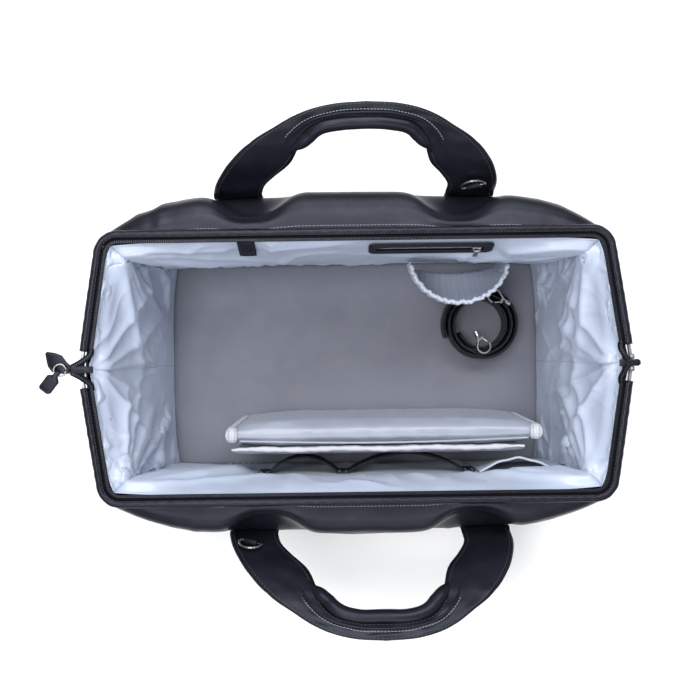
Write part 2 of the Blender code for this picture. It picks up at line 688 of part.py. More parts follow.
def d_ring(name, side, hand):
    """A D-ring in a leather loop that is sewn on the strap's inner face."""
    spot, up, inward = strap_frame(side, hand, D_RING_UP)
    bar = Matrix.Rotation(D_RING_SLANT * side, 3, inward) @ Vector((1, 0, 0))
    reach = inward.cross(bar)
    if reach.dot(up) < 0:
        reach = -reach
        bar = -bar
    pivot = spot + inward * (HANDLE_T / 2 + LOOP_STANDOFF + LOOP_R)
    place = Matrix((bar, reach, inward)).transposed().to_4x4()
    if place.determinant() < 0:
        place = Matrix((-bar, reach, inward)).transposed().to_4x4()
    place = Matrix.Translation(pivot) @ place
    bow = [Vector((D_RING_R * math.cos(math.radians(a)), 0.85 * D_RING_R * math.sin(math.radians(a)), 0))
           for a in range(0, 181, 15)]
    ring = tube(bow, D_RING_WIRE_R, closed=True)
    ring.transform(place)
    recentre(finish("d_ring_" + name, ring, STEEL, 0.2, 1.0, smooth=True), pivot)
    half = LOOP_LEN / 2
    barrel = rod_mesh((-half, 0, 0), (half, 0, 0), LOOP_R, 20)
    tail = box_mesh((-half, -0.0160, -LOOP_R - 0.0008), (half, 0.0, -LOOP_R + 0.0010))
    bore = rod_mesh((-half - 0.001, 0, 0), (half + 0.001, 0, 0), LOOP_BORE_R, 20)
    loop = combine(combine(barrel, [tail]), [bore], "DIFFERENCE")
    loop.transform(place)
    finish("ring_loop_" + name, loop, LEATHER, 0.45)


# ---------------------------------------------------------------- pockets
WELT_LOW_X = 0.014
WELT_HIGH_X = 0.140
WELT_Z = 0.1845
WELT_HALF_H = 0.0125
WELT_T = 0.0016
WELT_FRONT = -0.0028        # the welt's face, from the lining towards the bag's middle
WELT_CLEAR = 0.0006
ZIP_SLOT_HALF = 0.0045
ZIP_LOW_X = 0.022
ZIP_HIGH_X = 0.130
SLIDER_T = 0.0022
BAIL_RISE = 0.0018          # the slider's bail stands this far off its body
BAIL_R = 0.0005


def wall_strip(name, side, x_low, x_high, z_low, z_high, across, along, clear, thickness, color,
               roughness):
    """A strip lying on a lining wall, standing out into the bag."""
    def point(u, v):
        x = x_low + (x_high - x_low) * u
        z = z_low + (z_high - z_low) * v
        return Vector((x, side * (lining_wall_y(z, x) - clear), z))
    return sheet(name, point, across, along, thickness, side, color, roughness)


def inner_zip_pocket():
    """A leather welt with a slot, the zipper strip behind the slot, and its slider and puller."""
    def y_at(z):
        return lining_wall_y(z, (WELT_LOW_X + WELT_HIGH_X) / 2)
    slope = math.atan2(y_at(WELT_Z + 0.010) - y_at(WELT_Z - 0.010), 0.020)
    place = Matrix.Translation((0, y_at(WELT_Z) - WELT_CLEAR, WELT_Z)) @ Matrix.Rotation(-slope, 4, "X")
    welt_back = WELT_FRONT + WELT_T
    welt = box_mesh((WELT_LOW_X, WELT_FRONT, -WELT_HALF_H), (WELT_HIGH_X, welt_back, WELT_HALF_H))
    slot = box_mesh((ZIP_LOW_X, -0.010, -ZIP_SLOT_HALF), (ZIP_HIGH_X, 0.010, ZIP_SLOT_HALF))
    welt = combine(welt, [slot], "DIFFERENCE")
    tape = welt_back + GAP
    zipper = box_mesh((ZIP_LOW_X - 0.004, tape, -ZIP_SLOT_HALF - 0.003),
                      (ZIP_HIGH_X + 0.004, tape + 0.0007, ZIP_SLOT_HALF + 0.003))

    seat = welt_back - GAP / 2
    top = seat - SLIDER_T
    bail_y = top - BAIL_RISE
    body = box_mesh((-0.0045, top, -0.0034), (0.0045, seat, 0.0034), 0.0004)
    legs = [box_mesh((x - BAIL_R, bail_y - BAIL_R, -0.0006), (x + BAIL_R, top + 0.0004, 0.0006))
            for x in (-0.0030, 0.0030)]
    bail = rod_mesh((-0.0032, bail_y, 0), (0.0032, bail_y, 0), BAIL_R, 12)
    slider = combine(body, legs + [bail])
    eye = rod_mesh((-0.0012, bail_y, 0), (0.0012, bail_y, 0), 0.0013, 16)
    tab = box_mesh((-0.0024, bail_y - 0.0005, -0.0160), (0.0024, bail_y + 0.0005, -0.0016), 0.0003)
    stalk = box_mesh((-0.0011, bail_y - 0.0005, -0.0030), (0.0011, bail_y + 0.0005, -0.0009))
    bore = rod_mesh((-0.0030, bail_y, 0), (0.0030, bail_y, 0), BAIL_R + 0.0001, 16)
    puller = combine(combine(eye, [stalk, tab]), [bore], "DIFFERENCE")

    start = Matrix.Translation((ZIP_HIGH_X - 0.007, 0, 0))
    welt.transform(place)
    zipper.transform(place)
    slider.transform(place @ start)
    puller.transform(place @ start)
    finish("inner_pocket_welt", welt, LEATHER, 0.45)
    finish("inner_pocket_zip", zipper, ZIP_COLOR, 0.5)
    finish("inner_slider", slider, STEEL, 0.25, 1.0)
    recentre(finish("inner_puller", puller, STEEL, 0.25, 1.0), place @ start @ Vector((0, bail_y, 0)))


ELASTIC_X = (0.060, 0.164)
ELASTIC_TOP = 0.130
ELASTIC_BOTTOM = 0.060
ELASTIC_REACH = 0.048


def elastic_point(u, v, out=0.0):
    """The gathered pocket's wall: a half round that narrows towards its foot."""
    middle = (ELASTIC_X[0] + ELASTIC_X[1]) / 2
    half = (ELASTIC_X[1] - ELASTIC_X[0]) / 2
    angle = math.pi * (0.03 + 0.94 * u)
    z = ELASTIC_BOTTOM + (ELASTIC_TOP - ELASTIC_BOTTOM) * v
    deep = math.sin(math.pi / 2 * (0.12 + 0.88 * v)) ** 0.8
    x = middle - (half + out) * math.cos(angle)
    wall = lining_wall_y(z, x)
    return Vector((x, wall - 0.0012 - (ELASTIC_REACH * deep + out) * math.sin(angle), z))


def elastic_pocket():
    sheet("elastic_pocket", elastic_point, 16, 5, 0.0008, 1, NYLON, 0.45)
    path = [elastic_point(0.03 + 0.94 * k / 16, 1.0, 0.0006) + Vector((0, 0, 0.0030)) for k in range(17)]
    finish("elastic_rim", tube(path, 0.0024, resolution=1), NYLON, 0.5, smooth=True)


BAND_X = [-0.0995, -0.0150, 0.1190]
BAND_REACH = [0.0165, 0.0190]
BAND_FLAT = 0.006
BAND_Z = (0.104, 0.140)


def bottle_band():
    """A leather band on the front wall, sewn down at three places with two open loops."""
    places = []
    for k in range(2):
        low, high = BAND_X[k] + BAND_FLAT, BAND_X[k + 1] - BAND_FLAT
        places.append((BAND_X[k] - BAND_FLAT, 0.0))
        for step in range(9):
            t = step / 8
            places.append((low + (high - low) * t, BAND_REACH[k] * math.sin(math.pi * t) ** 0.7))
    places.append((BAND_X[2] + BAND_FLAT, 0.0))

    def point(u, v):
        x, reach = places[min(int(round(u * (len(places) - 1))), len(places) - 1)]
        z = BAND_Z[0] + (BAND_Z[1] - BAND_Z[0]) * v
        return Vector((x, -(lining_wall_y(z, x) - 0.0006 - reach), z))
    sheet("bottle_band", point, len(places) - 1, 1, 0.0015, -1, LEATHER, 0.5)


SLIP_X = (0.128, 0.206)
SLIP_Z = (0.050, 0.150)
SLIP_REACH = 0.0135         # how far the slip pocket's mouth stands open
KEY_TAB_X = (-0.117, -0.099)
KEY_TAB_Z = (0.176, 0.199)


def small_pockets():
    def slip(u, v):
        x = SLIP_X[0] + (SLIP_X[1] - SLIP_X[0]) * u
        z = SLIP_Z[0] + (SLIP_Z[1] - SLIP_Z[0]) * v
        out = 0.0010 + SLIP_REACH * math.sin(math.pi * u) * v
        return Vector((x, -(lining_wall_y(z, x) - out), z))
    sheet("slip_pocket", slip, 8, 4, 0.0008, -1, NYLON, 0.45)
    wall_strip("key_tab", 1.0, *KEY_TAB_X, *KEY_TAB_Z, 2, 3, 0.0006, 0.0018, LEATHER, 0.45)


# ---------------------------------------------------------------- things kept inside
MAT_LEAN = math.radians(1)
MAT_STAND_Z = 0.0140
MAT_COVER_Y = -0.0685       # where each layer's middle stands on the floor
MAT_PAD_Y = -0.0866
MAT_COVER_X = (-0.136, 0.192)
MAT_PAD_X = (-0.134, 0.178)
MAT_COVER_T = 0.0260
MAT_PAD_T = 0.0090
MAT_COVER_H = 0.1470
MAT_PAD_H = 0.1380
MAT_COVER_EDGE = 0.0090
MAT_PAD_EDGE = 0.0035


def mat_layer(name, x_range, y, thickness, height, edge, color, roughness):
    half = thickness / 2
    layer = box_mesh((x_range[0], -half, 0.0), (x_range[1], half, height), edge, 2)
    layer.transform(Matrix.Translation((0, y, MAT_STAND_Z)) @ Matrix.Rotation(MAT_LEAN, 4, "X"))
    finish(name, layer, color, roughness)


def changing_mat():
    """A folded padded mat, stored upright beside the front wall's pockets."""
    mat_layer("changing_mat_cover", MAT_COVER_X, MAT_COVER_Y, MAT_COVER_T, MAT_COVER_H, MAT_COVER_EDGE,
              MAT_SILVER, 0.6)
    mat_layer("changing_mat_pad", MAT_PAD_X, MAT_PAD_Y, MAT_PAD_T, MAT_PAD_H, MAT_PAD_EDGE,
              MAT_WHITE, 0.8)


COIL_CENTRE = Vector((0.1475, 0.0440, 0.0))
COIL_LOW = 0.0128
COIL_WIDTH = 0.034
COIL_R = (0.0265, 0.0440)
COIL_TURNS = 3.0
COIL_T = 0.0030


def coil_place(t):
    angle = 2 * math.pi * COIL_TURNS * t + math.radians(200)
    radius = COIL_R[0] + (COIL_R[1] - COIL_R[0]) * t
    return COIL_CENTRE + Vector((radius * math.cos(angle), radius * math.sin(angle), 0))


def shoulder_strap():
    def point(u, v):
        return coil_place(v) + Vector((0, 0, COIL_LOW + COIL_WIDTH * u))
    sheet("strap_coil", point, 1, 48, COIL_T, 0, LEATHER, 0.45)


HOOK_R = 0.0075
HOOK_WIRE_R = 0.0016
GATE_R = 0.0010
EAR_T = 0.0009              # the ears that hold the gate's pivot end
HOOK_Z = 0.0500
HOOKS = {"a": (Vector((0.1490, 0.0180, HOOK_Z)), math.radians(205)),
         "b": (Vector((0.1620, 0.0760, HOOK_Z)), math.radians(60))}


def strap_hook(name, centre, heading):
    """A snap hook lying flat: swivel barrel, hooked body, and the gate that closes its mouth."""
    place = Matrix.Translation(centre) @ Matrix.Rotation(heading, 4, "Z")
    bend = [Vector((HOOK_R * math.cos(math.radians(a)), HOOK_R * math.sin(math.radians(a)), 0))
            for a in range(-50, 196, 20)]
    shank = [Vector((0.0010, -0.0165, 0)), Vector((0.0025, -0.0105, 0))]
    body = tube(shank + bend, HOOK_WIRE_R)
    barrel = rod_mesh((0.0010, -0.0200, 0), (0.0010, -0.0140, 0), 0.0030, 16)
    root = Vector((-0.0022, -0.0098, 0))
    reach_x = shank[1].x + 0.0006
    ears = [box_mesh((root.x - 0.0013, root.y - 0.0013, low), (reach_x, root.y + 0.0013, low + EAR_T))
            for low in (GATE_R + GAP, -GATE_R - GAP - EAR_T)]
    hook = combine(body, [barrel] + ears)
    hook.transform(place)
    finish("strap_hook_" + name, hook, STEEL, 0.22, 1.0)
    tip = bend[-1]
    reach = (tip - root).normalized()
    gate = rod_mesh(root, tip - reach * (HOOK_WIRE_R + 0.0012), GATE_R, 12)
    gate.transform(place)
    recentre(finish("strap_gate_" + name, gate, STEEL, 0.22, 1.0), place @ root)


# ---------------------------------------------------------------- outer pockets
OUTER_ZIP_HALF_X = 0.070
OUTER_ZIP_Z = 0.1200
OUTER_ZIP_HALF_H = 0.0070
OUTER_ZIP_T = 0.0012
POCKET_CLEAR = 0.0014
POCKET_SLACK = 0.0020       # how far its mouth stands open
POCKET_HALF_X = 0.088
POCKET_Z = (0.030, 0.128)


def outer_pockets():
    def zip_strip(u, v):
        x = (2 * u - 1) * OUTER_ZIP_HALF_X
        z = OUTER_ZIP_Z + (2 * v - 1) * OUTER_ZIP_HALF_H
        return Vector((x, -(panel_y(-1.0, x, z) + POCKET_CLEAR), z))
    sheet("outer_front_zip", zip_strip, 8, 2, OUTER_ZIP_T, 1, ZIP_COLOR, 0.5)

    def pocket(u, v):
        x = (2 * u - 1) * POCKET_HALF_X
        z = POCKET_Z[0] + (POCKET_Z[1] - POCKET_Z[0]) * v
        out = POCKET_CLEAR + POCKET_SLACK * v * (1 - abs(2 * u - 1) ** 4)
        return Vector((x, panel_y(1.0, x, z) + out, z))
    sheet("outer_back_pocket", pocket, 12, 6, 0.0016, -1, LEATHER, 0.42)

    x = 0.060
    face = panel_y(-1.0, x, OUTER_ZIP_Z) + POCKET_CLEAR + OUTER_ZIP_T + GAP * 2
    body = box_mesh((x - 0.0045, -face - 0.0024, OUTER_ZIP_Z - 0.0036),
                    (x + 0.0045, -face, OUTER_ZIP_Z + 0.0036), 0.0005)
    tag = box_mesh((x - 0.0030, -face - 0.0034, OUTER_ZIP_Z - 0.0200),
                   (x + 0.0030, -face - 0.0016, OUTER_ZIP_Z + 0.0020), 0.0005)
    finish("outer_slider", combine(body, [tag]), STEEL, 0.25, 1.0)


# ---------------------------------------------------------------- assembly
shell()
base()
for half_name, half_side in SIDES.items():
    frame_half(half_name, half_side)
    handle(half_name, half_side)
for plate_name, plate_hand in HANDS.items():
    hinge_plate(plate_name + "_hinge_plate", plate_hand)
zipper_ends()
main_ring_and_puller(main_slider())
handle_anchors()
d_ring("back", SIDES["back"], HANDS["right"])
d_ring("front", SIDES["front"], HANDS["left"])
inner_zip_pocket()
elastic_pocket()
bottle_band()
small_pockets()
changing_mat()
shoulder_strap()
for hook_name, (hook_centre, hook_heading) in HOOKS.items():
    strap_hook(hook_name, hook_centre, hook_heading)
outer_pockets()
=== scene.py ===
"""Looks for the open wire-frame diaper bag: leatherette, nylon lining, stitching, padding and metal."""
import json
import math

import bpy
import numpy as np
from mathutils import Matrix, Vector


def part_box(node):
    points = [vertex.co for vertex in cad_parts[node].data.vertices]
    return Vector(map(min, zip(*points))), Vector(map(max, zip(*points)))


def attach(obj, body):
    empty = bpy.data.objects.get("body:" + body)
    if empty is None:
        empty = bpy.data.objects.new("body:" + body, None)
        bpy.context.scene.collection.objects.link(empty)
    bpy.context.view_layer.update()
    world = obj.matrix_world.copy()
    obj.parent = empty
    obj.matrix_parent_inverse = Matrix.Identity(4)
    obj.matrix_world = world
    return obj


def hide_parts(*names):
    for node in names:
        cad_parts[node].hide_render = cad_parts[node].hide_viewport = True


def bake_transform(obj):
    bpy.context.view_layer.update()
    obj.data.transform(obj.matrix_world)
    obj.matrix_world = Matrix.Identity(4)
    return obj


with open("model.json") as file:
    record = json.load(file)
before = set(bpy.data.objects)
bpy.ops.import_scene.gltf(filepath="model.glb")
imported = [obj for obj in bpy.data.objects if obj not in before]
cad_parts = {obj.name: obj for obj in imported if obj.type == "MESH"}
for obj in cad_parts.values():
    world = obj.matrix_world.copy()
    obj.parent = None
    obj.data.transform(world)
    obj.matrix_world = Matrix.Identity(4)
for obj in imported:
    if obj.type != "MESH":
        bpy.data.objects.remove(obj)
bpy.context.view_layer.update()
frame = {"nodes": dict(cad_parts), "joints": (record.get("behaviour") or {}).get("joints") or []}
joints = {joint["name"]: joint for joint in frame["joints"]}

# ---------------------------------------------------------------- driving dimensions, in metres
BAG = "bag_body"
SIDES = {"back": 1.0, "front": -1.0}
HANDS = {"left": -1.0, "right": 1.0}
UP = Vector((0, 0, 1))

PIVOT_Y, PIVOT_Z = joints["back_frame_hinge"]["pos_m"][1:]
SLEEVE_LOW, SLEEVE_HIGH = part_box("back_sleeve")
SLEEVE_R = (SLEEVE_HIGH.z - SLEEVE_LOW.z) / 2 + 0.0005
BAR_Y = SLEEVE_HIGH.y - 0.0045
SLEEVE_START_Y = 0.018
ZIP_START_Y = SLEEVE_START_Y + 0.003
PIVOT_X = 0.2705
CORNER_X = 0.2512
CORNER_R = 0.020
TEETH_INSET = 0.0075
TEETH_PITCH = 0.0021
TAPE_OUT, TAPE_IN = 0.0042, 0.0088
TAPE_T = 0.0008

# seams from foot to rim: half length, half width, height
SEAM = [(0.2220, 0.1240, 0.0092), (0.2370, 0.1345, 0.060), (0.2455, 0.1390, 0.115),
        (0.2500, 0.1395, 0.162), (0.2485, 0.1355, 0.188), (0.2455, 0.1310, 0.1965),
        (0.2425, 0.1275, 0.1993)]
BULGE = {"back": [0.0050, 0.0200, 0.0310, 0.0370, 0.0385, 0.0275, 0.0075],
         "front": [0.0050, 0.0170, 0.0260, 0.0310, 0.0320, 0.0240, 0.0075]}
BULGE_POWER = 4.5
GUSSET_BULGE = [0.0060, 0.0060, 0.0085, 0.0140, 0.0215, 0.0250, 0.0287]
DIP_DEPTH = {"back": 0.021, "front": 0.019}
DIP_X = 0.103                 # each dip is deepest beside its strap's inner edge
DIP_WIDTH = 0.034
DIP_BOTTOM_Z, DIP_FULL_Z = 0.155, 0.178
RIM_FADE = 0.26
CREST_Z, CREST_W = 0.183, 0.016
RIM_STITCH_LEVEL = 0.966
LEATHER_T = 0.0018
PIPING_R = 0.0019
BASE_CORNER = 0.014

LINING_SEAM = [(0.2115, 0.1165, 0.0128), (0.2200, 0.1130, 0.080), (0.2290, 0.1125, 0.150),
               (0.2345, 0.1165, 0.182), (0.2385, 0.1220, 0.2035)]
LINING_WALL_BULGE = [0.0035, 0.0035, 0.0035, 0.0035, 0.0042]
LINING_SIDE_BULGE = [0.0060, 0.0090, 0.0140, 0.0190, 0.0250]
LINING_T = 0.0008
LINING_STITCH_LEVEL = 0.94    # the dotted row runs this far up the lining
CORNER_FLARE = 0.0030         # the lining's rim corners reach out to the zipper tape
THREAD_LIFT = 0.0004          # how far a row of thread lies above the cloth

HANDLE_X = 0.120
HANDLE_OUTER = [(0.1450, 0.1600), (0.1425, 0.1800), (0.1370, 0.1980), (0.1270, 0.2160),
                (0.1090, 0.2330), (0.0850, 0.2450), (0.0600, 0.2550), (0.0310, 0.2605), (0.0, 0.2620)]
HANDLE_INNER = [(0.0950, 0.1600), (0.0925, 0.1800), (0.0830, 0.1970), (0.0690, 0.2130),
                (0.0620, 0.2270), (0.0570, 0.2405), (0.0440, 0.2485), (0.0230, 0.2520), (0.0, 0.2525)]
HANDLE_LEAN = [(0.0, 0.1600), (0.0060, 0.1800), (0.0140, 0.1980), (0.0260, 0.2160), (0.0420, 0.2330),
               (0.0560, 0.2440), (0.0690, 0.2540), (0.0800, 0.2620)]
LEAN_SCALE = {"back": 0.83, "front": 0.99}
HANDLE_SHIFT = {"back": 0.0, "front": 0.012}
HANDLE_SWAY = 0.012
HANDLE_HINGE = {name: joints[name + "_handle_fold"]["pos_m"] for name in SIDES}
STRAP_T = 0.0042
STRAP_TURN = (0.1560, 0.1660)
ROLL_R = 0.0070
RIDGE_ACROSS = 0.66           # the roll's cover meets the flat flange here, as a share of the strap's width
ANCHOR_LOW_Z, ANCHOR_HIGH_Z = 0.0750, 0.1570

# heights over which a piece's weight rises from 0 to 1
RIM_TURN = (0.176, 0.1985)
LINING_TURN = {"back": (0.140, 0.170), "front": (0.153, 0.176)}

# where pockets, the welt and the tab are sewn on the lining walls: x from, to, z from, to
SEWN_ON = {"back": [(0.010, 0.144, 0.170, 0.205), (-0.120, -0.096, 0.172, 0.205),
                    (0.058, 0.166, 0.058, 0.132)],
           "front": [(-0.108, 0.128, 0.100, 0.144), (0.126, 0.208, 0.048, 0.152)]}
SEWN_MARGIN = 0.014

# pocket with a welt and zipper in the back wall
WELT_X = (0.014, 0.140)
WELT_Z, WELT_HALF_H = 0.1845, 0.0125
SLOT_X = (0.022, 0.130)
SLOT_HALF_H = 0.0045
WELT_FRONT, WELT_T = -0.0028, 0.0016

ELASTIC_X = (0.060, 0.164)
ELASTIC_Z = (0.060, 0.130)
ELASTIC_REACH = 0.048

BAND_X = [-0.0995, -0.0150, 0.1190]
BAND_REACH = [0.0165, 0.0190]
BAND_FLAT = 0.006
BAND_Z = (0.104, 0.140)

SLIP_X, SLIP_Z = (0.128, 0.206), (0.050, 0.150)
SLIP_REACH = 0.0135

MAT_LEAN = math.radians(1)
MAT_STAND_Z = 0.0140
MAT_COVER_Y, MAT_PAD_Y = -0.0685, -0.0866
MAT_COVER_T, MAT_PAD_T = 0.0260, 0.0090
MAT_COVER_H, MAT_PAD_H = 0.1470, 0.1380

COIL_CENTRE = (0.1475, 0.0440)
COIL_Z = (0.0128, 0.0468)
COIL_R = (0.0265, 0.0440)
COIL_TURNS = 3.0

OUTER_ZIP_Z, OUTER_ZIP_HALF_H = 0.1200, 0.0070
OUTER_POCKET_HALF_X, OUTER_POCKET_Z = 0.088, (0.030, 0.128)

# the camera looks straight down, nearly over the bag's middle
CAMERA_SPOT = (-0.006, 0.016, 1.095)
CAMERA_TWIST = math.radians(-0.78)
LENS_MM, SENSOR_MM = 46.43, 36.0
# softboxes: name, place, size, power, share of highlights
LIGHTS = [("back_softbox", (0.10, 0.95, 1.55), (1.7, 0.7), 28.0, 0.6),
          ("front_softbox", (-0.20, -1.05, 1.45), (1.7, 0.7), 14.0, 0.6),
          ("overhead", (-0.50, 0.10, 2.3), (0.8, 0.8), 22.0, 0.35)]
LIGHTS_AIM = Vector((0, 0, 0.1))
PAPER_Z, PAPER_REACH = -0.0004, 6.0
SKY_COLOR, SKY_STRENGTH = (0.94, 0.96, 1.0, 1.0), 0.45

# rows of thread: pitch, length of one stitch, radius of the thread
SEAM_THREAD = (0.0036, 0.0026, 0.00035)
LINING_THREAD = (0.0034, 0.0022, 0.0003)
STRAP_THREAD = (0.0040, 0.0030, 0.00038)
GRIP_THREAD = (0.0032, 0.0024, 0.00030)
TAB_THREAD = (0.0026, 0.0018, 0.00028)
PULLER_THREAD = (0.0024, 0.0017, 0.00026)
LOOP_THREAD = (0.0026, 0.0019, 0.0003)
WELT_THREAD = (0.0028, 0.0020, 0.00024)
KEY_TAB_THREAD = (0.0026, 0.0019, 0.00024)
BAND_THREAD = (0.0032, 0.0024, 0.00028)
TACK_THREAD = (0.0016, 0.0014, 0.00035)
SLIP_THREAD = (0.0030, 0.0022, 0.00025)
COIL_THREAD = (0.0036, 0.0026, 0.0003)
OUTER_ZIP_THREAD = (0.0034, 0.0025, 0.0003)
OUTER_POCKET_THREAD = (0.0036, 0.0027, 0.00034)


# ---------------------------------------------------------------- curves and surfaces
def spline(points, at):
    """Catmull-Rom value through equal-length tuples; at runs from 0 to 1."""
    last = len(points) - 1
    place = min(max(at, 0.0), 1.0) * last
    k = min(int(place), last - 1)
    t = place - k
    p1, p2 = points[k], points[k + 1]
    p0 = points[k - 1] if k > 0 else tuple(2 * a - b for a, b in zip(p1, p2))
    p3 = points[k + 2] if k + 2 <= last else tuple(2 * b - a for a, b in zip(p1, p2))
    return tuple(0.5 * (2 * b + (c - a) * t + (2 * a - 5 * b + 4 * c - d) * t * t
                        + (3 * b - a - 3 * c + d) * t * t * t)
                 for a, b, c, d in zip(p0, p1, p2, p3))


def value_at(values, at):
    """The same for a list of single numbers."""
    return spline([(value,) for value in values], at)[0]


def smooth(x):
    """An even rise from 0 to 1 that starts and ends level."""
    x = np.clip(x, 0.0, 1.0)
    return x * x * (3 - 2 * x)


def soft_power(x, power):
    """A power that keeps the sign."""
    return math.copysign(abs(x) ** power, x)


def arc(cx, cy, radius, first, steps):
    """A quarter circle of points (x, y), starting at an angle in degrees."""
    angles = [math.radians(first + 90 * k / steps) for k in range(steps + 1)]
    return [(cx + radius * math.cos(angle), cy + radius * math.sin(angle)) for angle in angles]


def rounded_box(half_x, half_y, corner, steps):
    """Outline (x, y) of a rectangle round the origin, with rounded corners."""
    points = []
    for quarter, (sx, sy) in enumerate([(1, 1), (-1, 1), (-1, -1), (1, -1)]):
        points += arc(sx * (half_x - corner), sy * (half_y - corner), corner, 90 * quarter, steps)
    return points


def at_height(outline, z):
    return [Vector((x, y, z)) for x, y in outline]


def level_of(seam, z):
    """Where a seam reaches a height, from 0 at its foot to 1 at the rim."""
    low, high = 0.0, 1.0
    for _ in range(24):
        middle = (low + high) / 2
        if spline(seam, middle)[2] < z:
            low = middle
        else:
            high = middle
    return low


def dip(name, x, z):
    """How far a panel is pressed in beside the handle straps."""
    rise = smooth((z - DIP_BOTTOM_Z) / (DIP_FULL_Z - DIP_BOTTOM_Z))
    near = math.exp(-abs((abs(x - HANDLE_SHIFT[name]) - DIP_X) / DIP_WIDTH) ** 3)
    return DIP_DEPTH[name] * near * rise


def panel_point(name, u, v):
    """The outer panels: u runs from -1 to 1 across, v from the foot to the rim."""
    seam_x, seam_y, z = spline(SEAM, v)
    x = u * seam_x
    fade = min(1.0, (1.0 - v) / RIM_FADE)
    y = seam_y + value_at(BULGE[name], v) * (1 - abs(u) ** BULGE_POWER) - dip(name, x, z) * fade
    return (x, SIDES[name] * y, z)


def end_shape(u, v):
    """How full a side wall is: broad at its foot, pointed at the rim's hinge."""
    return (1 - v) * (1 - u ** 4) + v * (1 - abs(u))


def gusset_point(hand, u, v):
    seam_x, seam_y, z = spline(SEAM, v)
    return (hand * (seam_x + value_at(GUSSET_BULGE, v) * end_shape(u, v)), u * (seam_y - 0.0010), z)


def flare(v):
    """How far the lining has opened towards the zipper tape."""
    return float(smooth((v - 0.78) / 0.22))


def lining_wall_point(side, u, v):
    seam_x, seam_y, z = spline(LINING_SEAM, v)
    x = u * seam_x + math.copysign(CORNER_FLARE * flare(v) * abs(u) ** 10, u)
    return (x, side * (seam_y + value_at(LINING_WALL_BULGE, v) * (1 - abs(u) ** 6)), z)


def arm_x(y):
    """Where the wire of an arm runs."""
    return PIVOT_X + (CORNER_X - PIVOT_X) * (y - PIVOT_Y) / (BAR_Y - PIVOT_Y)


def tape_x(y):
    """Where the zipper tape's inner edge runs along an arm, rounded into the long side."""
    inset, radius = TAPE_IN - 0.0008, CORNER_R - TAPE_IN
    past = max(0.0, abs(y) - (BAR_Y - inset - radius))
    return arm_x(abs(y)) - inset - (radius - math.sqrt(max(radius ** 2 - past ** 2, 0.0)))


def lining_side_point(hand, u, v):
    seam_x, seam_y, z = spline(LINING_SEAM, v)
    x, y = seam_x + value_at(LINING_SIDE_BULGE, v) * end_shape(u, v), u * (seam_y - 0.0006)
    reach = max(tape_x(y) - x, 0.0)
    gap = reach + (CORNER_FLARE - reach) * abs(u) ** 10
    return (hand * (x + gap * flare(v)), y, z)


def panel_y(name, x, z):
    """How far out the outer panel is at a place."""
    v = level_of(SEAM, z)
    return abs(panel_point(name, x / spline(SEAM, v)[0], v)[1])


def lining_y(x, z):
    """How far out the inner face of a long lining wall is at a place."""
    v = level_of(LINING_SEAM, z)
    return lining_wall_point(1.0, min(abs(x) / spline(LINING_SEAM, v)[0], 1.0), v)[1] - LINING_T


def strap_y(name, z):
    """How far out a handle's strap is at a height."""
    reaches, heights = zip(*HANDLE_LEAN)
    low = max(k for k in range(len(heights)) if k == 0 or heights[k] <= z)
    low = min(low, len(heights) - 2)
    t = (z - heights[low]) / (heights[low + 1] - heights[low])
    return abs(HANDLE_HINGE[name][1]) + LEAN_SCALE[name] * value_at(reaches, (low + t) / (len(heights) - 1))


def distances(points):
    """Distance along a line up to each of its points."""
    return np.concatenate([[0], np.cumsum(np.linalg.norm(np.diff(points, axis=0), axis=1))])


def resample(points, spacing, closed=False):
    """The same line with evenly spaced points."""
    pts = np.array([tuple(p) for p in points], float)
    if closed:
        pts = np.vstack([pts, pts[:1]])
    run = distances(pts)
    at = np.linspace(0, run[-1], max(2, int(round(run[-1] / spacing)) + 1))
    out = np.stack([np.interp(at, run, pts[:, k]) for k in range(3)], axis=1)
    return [Vector(p) for p in (out[:-1] if closed else out)]


def rounded(points, radius, steps):
    """A polyline with its inner corners rounded."""
    path = [points[0]]
    for before, corner, after in zip(points, points[1:], points[2:]):
        a, b = (before - corner).normalized(), (after - corner).normalized()
        half = a.angle(b) / 2
        middle = corner + (a + b).normalized() * radius / math.sin(half)
        start = (corner + a * radius / math.tan(half) - middle).normalized()
        end = (corner + b * radius / math.tan(half) - middle).normalized()
        path += [middle + start.slerp(end, k / steps) * radius for k in range(steps + 1)]
    return path + [points[-1]]


def bow_path(side, start_y, inset=0.0, lift=0.0, spacing=0.004):
    """Evenly spaced points beside the bow's centre line, left arm to right arm."""
    arm = Vector((CORNER_X - PIVOT_X, BAR_Y - PIVOT_Y, 0)).normalized()
    foot = Vector((arm_x(start_y), start_y, 0)) - Vector((arm.y, -arm.x, 0)) * inset
    corner = foot + arm * ((BAR_Y - inset - foot.y) / arm.y)
    outline = [(-foot.x, side * foot.y), (-corner.x, side * corner.y), (corner.x, side * corner.y),
               (foot.x, side * foot.y)]
    return resample(rounded(at_height(outline, PIVOT_Z + lift), CORNER_R - inset, 14), spacing)


# ---------------------------------------------------------------- cloth relief
def folds(seed, s, t, size, count, width, depth, heading, spread, length):
    """Height of soft creases over places s, t in metres; the same every run."""
    rng = np.random.default_rng(seed)
    total = np.zeros_like(s)
    for _ in range(count):
        cs, ct = rng.uniform(0, size[0]), rng.uniform(0, size[1])
        angle = math.radians(heading) + rng.normal(0, spread)
        reach = length * rng.uniform(0.4, 1.2)
        wide = width * rng.uniform(0.6, 1.5)
        deep = depth * rng.uniform(0.35, 1.0)
        curl = rng.normal(0, 0.25) / reach
        along = (s - cs) * math.cos(angle) + (t - ct) * math.sin(angle)
        off = -(s - cs) * math.sin(angle) + (t - ct) * math.cos(angle) - curl * along ** 2
        total += deep * np.exp(-(along / reach) ** 2) / (1 + (off / wide) ** 2)
    return total


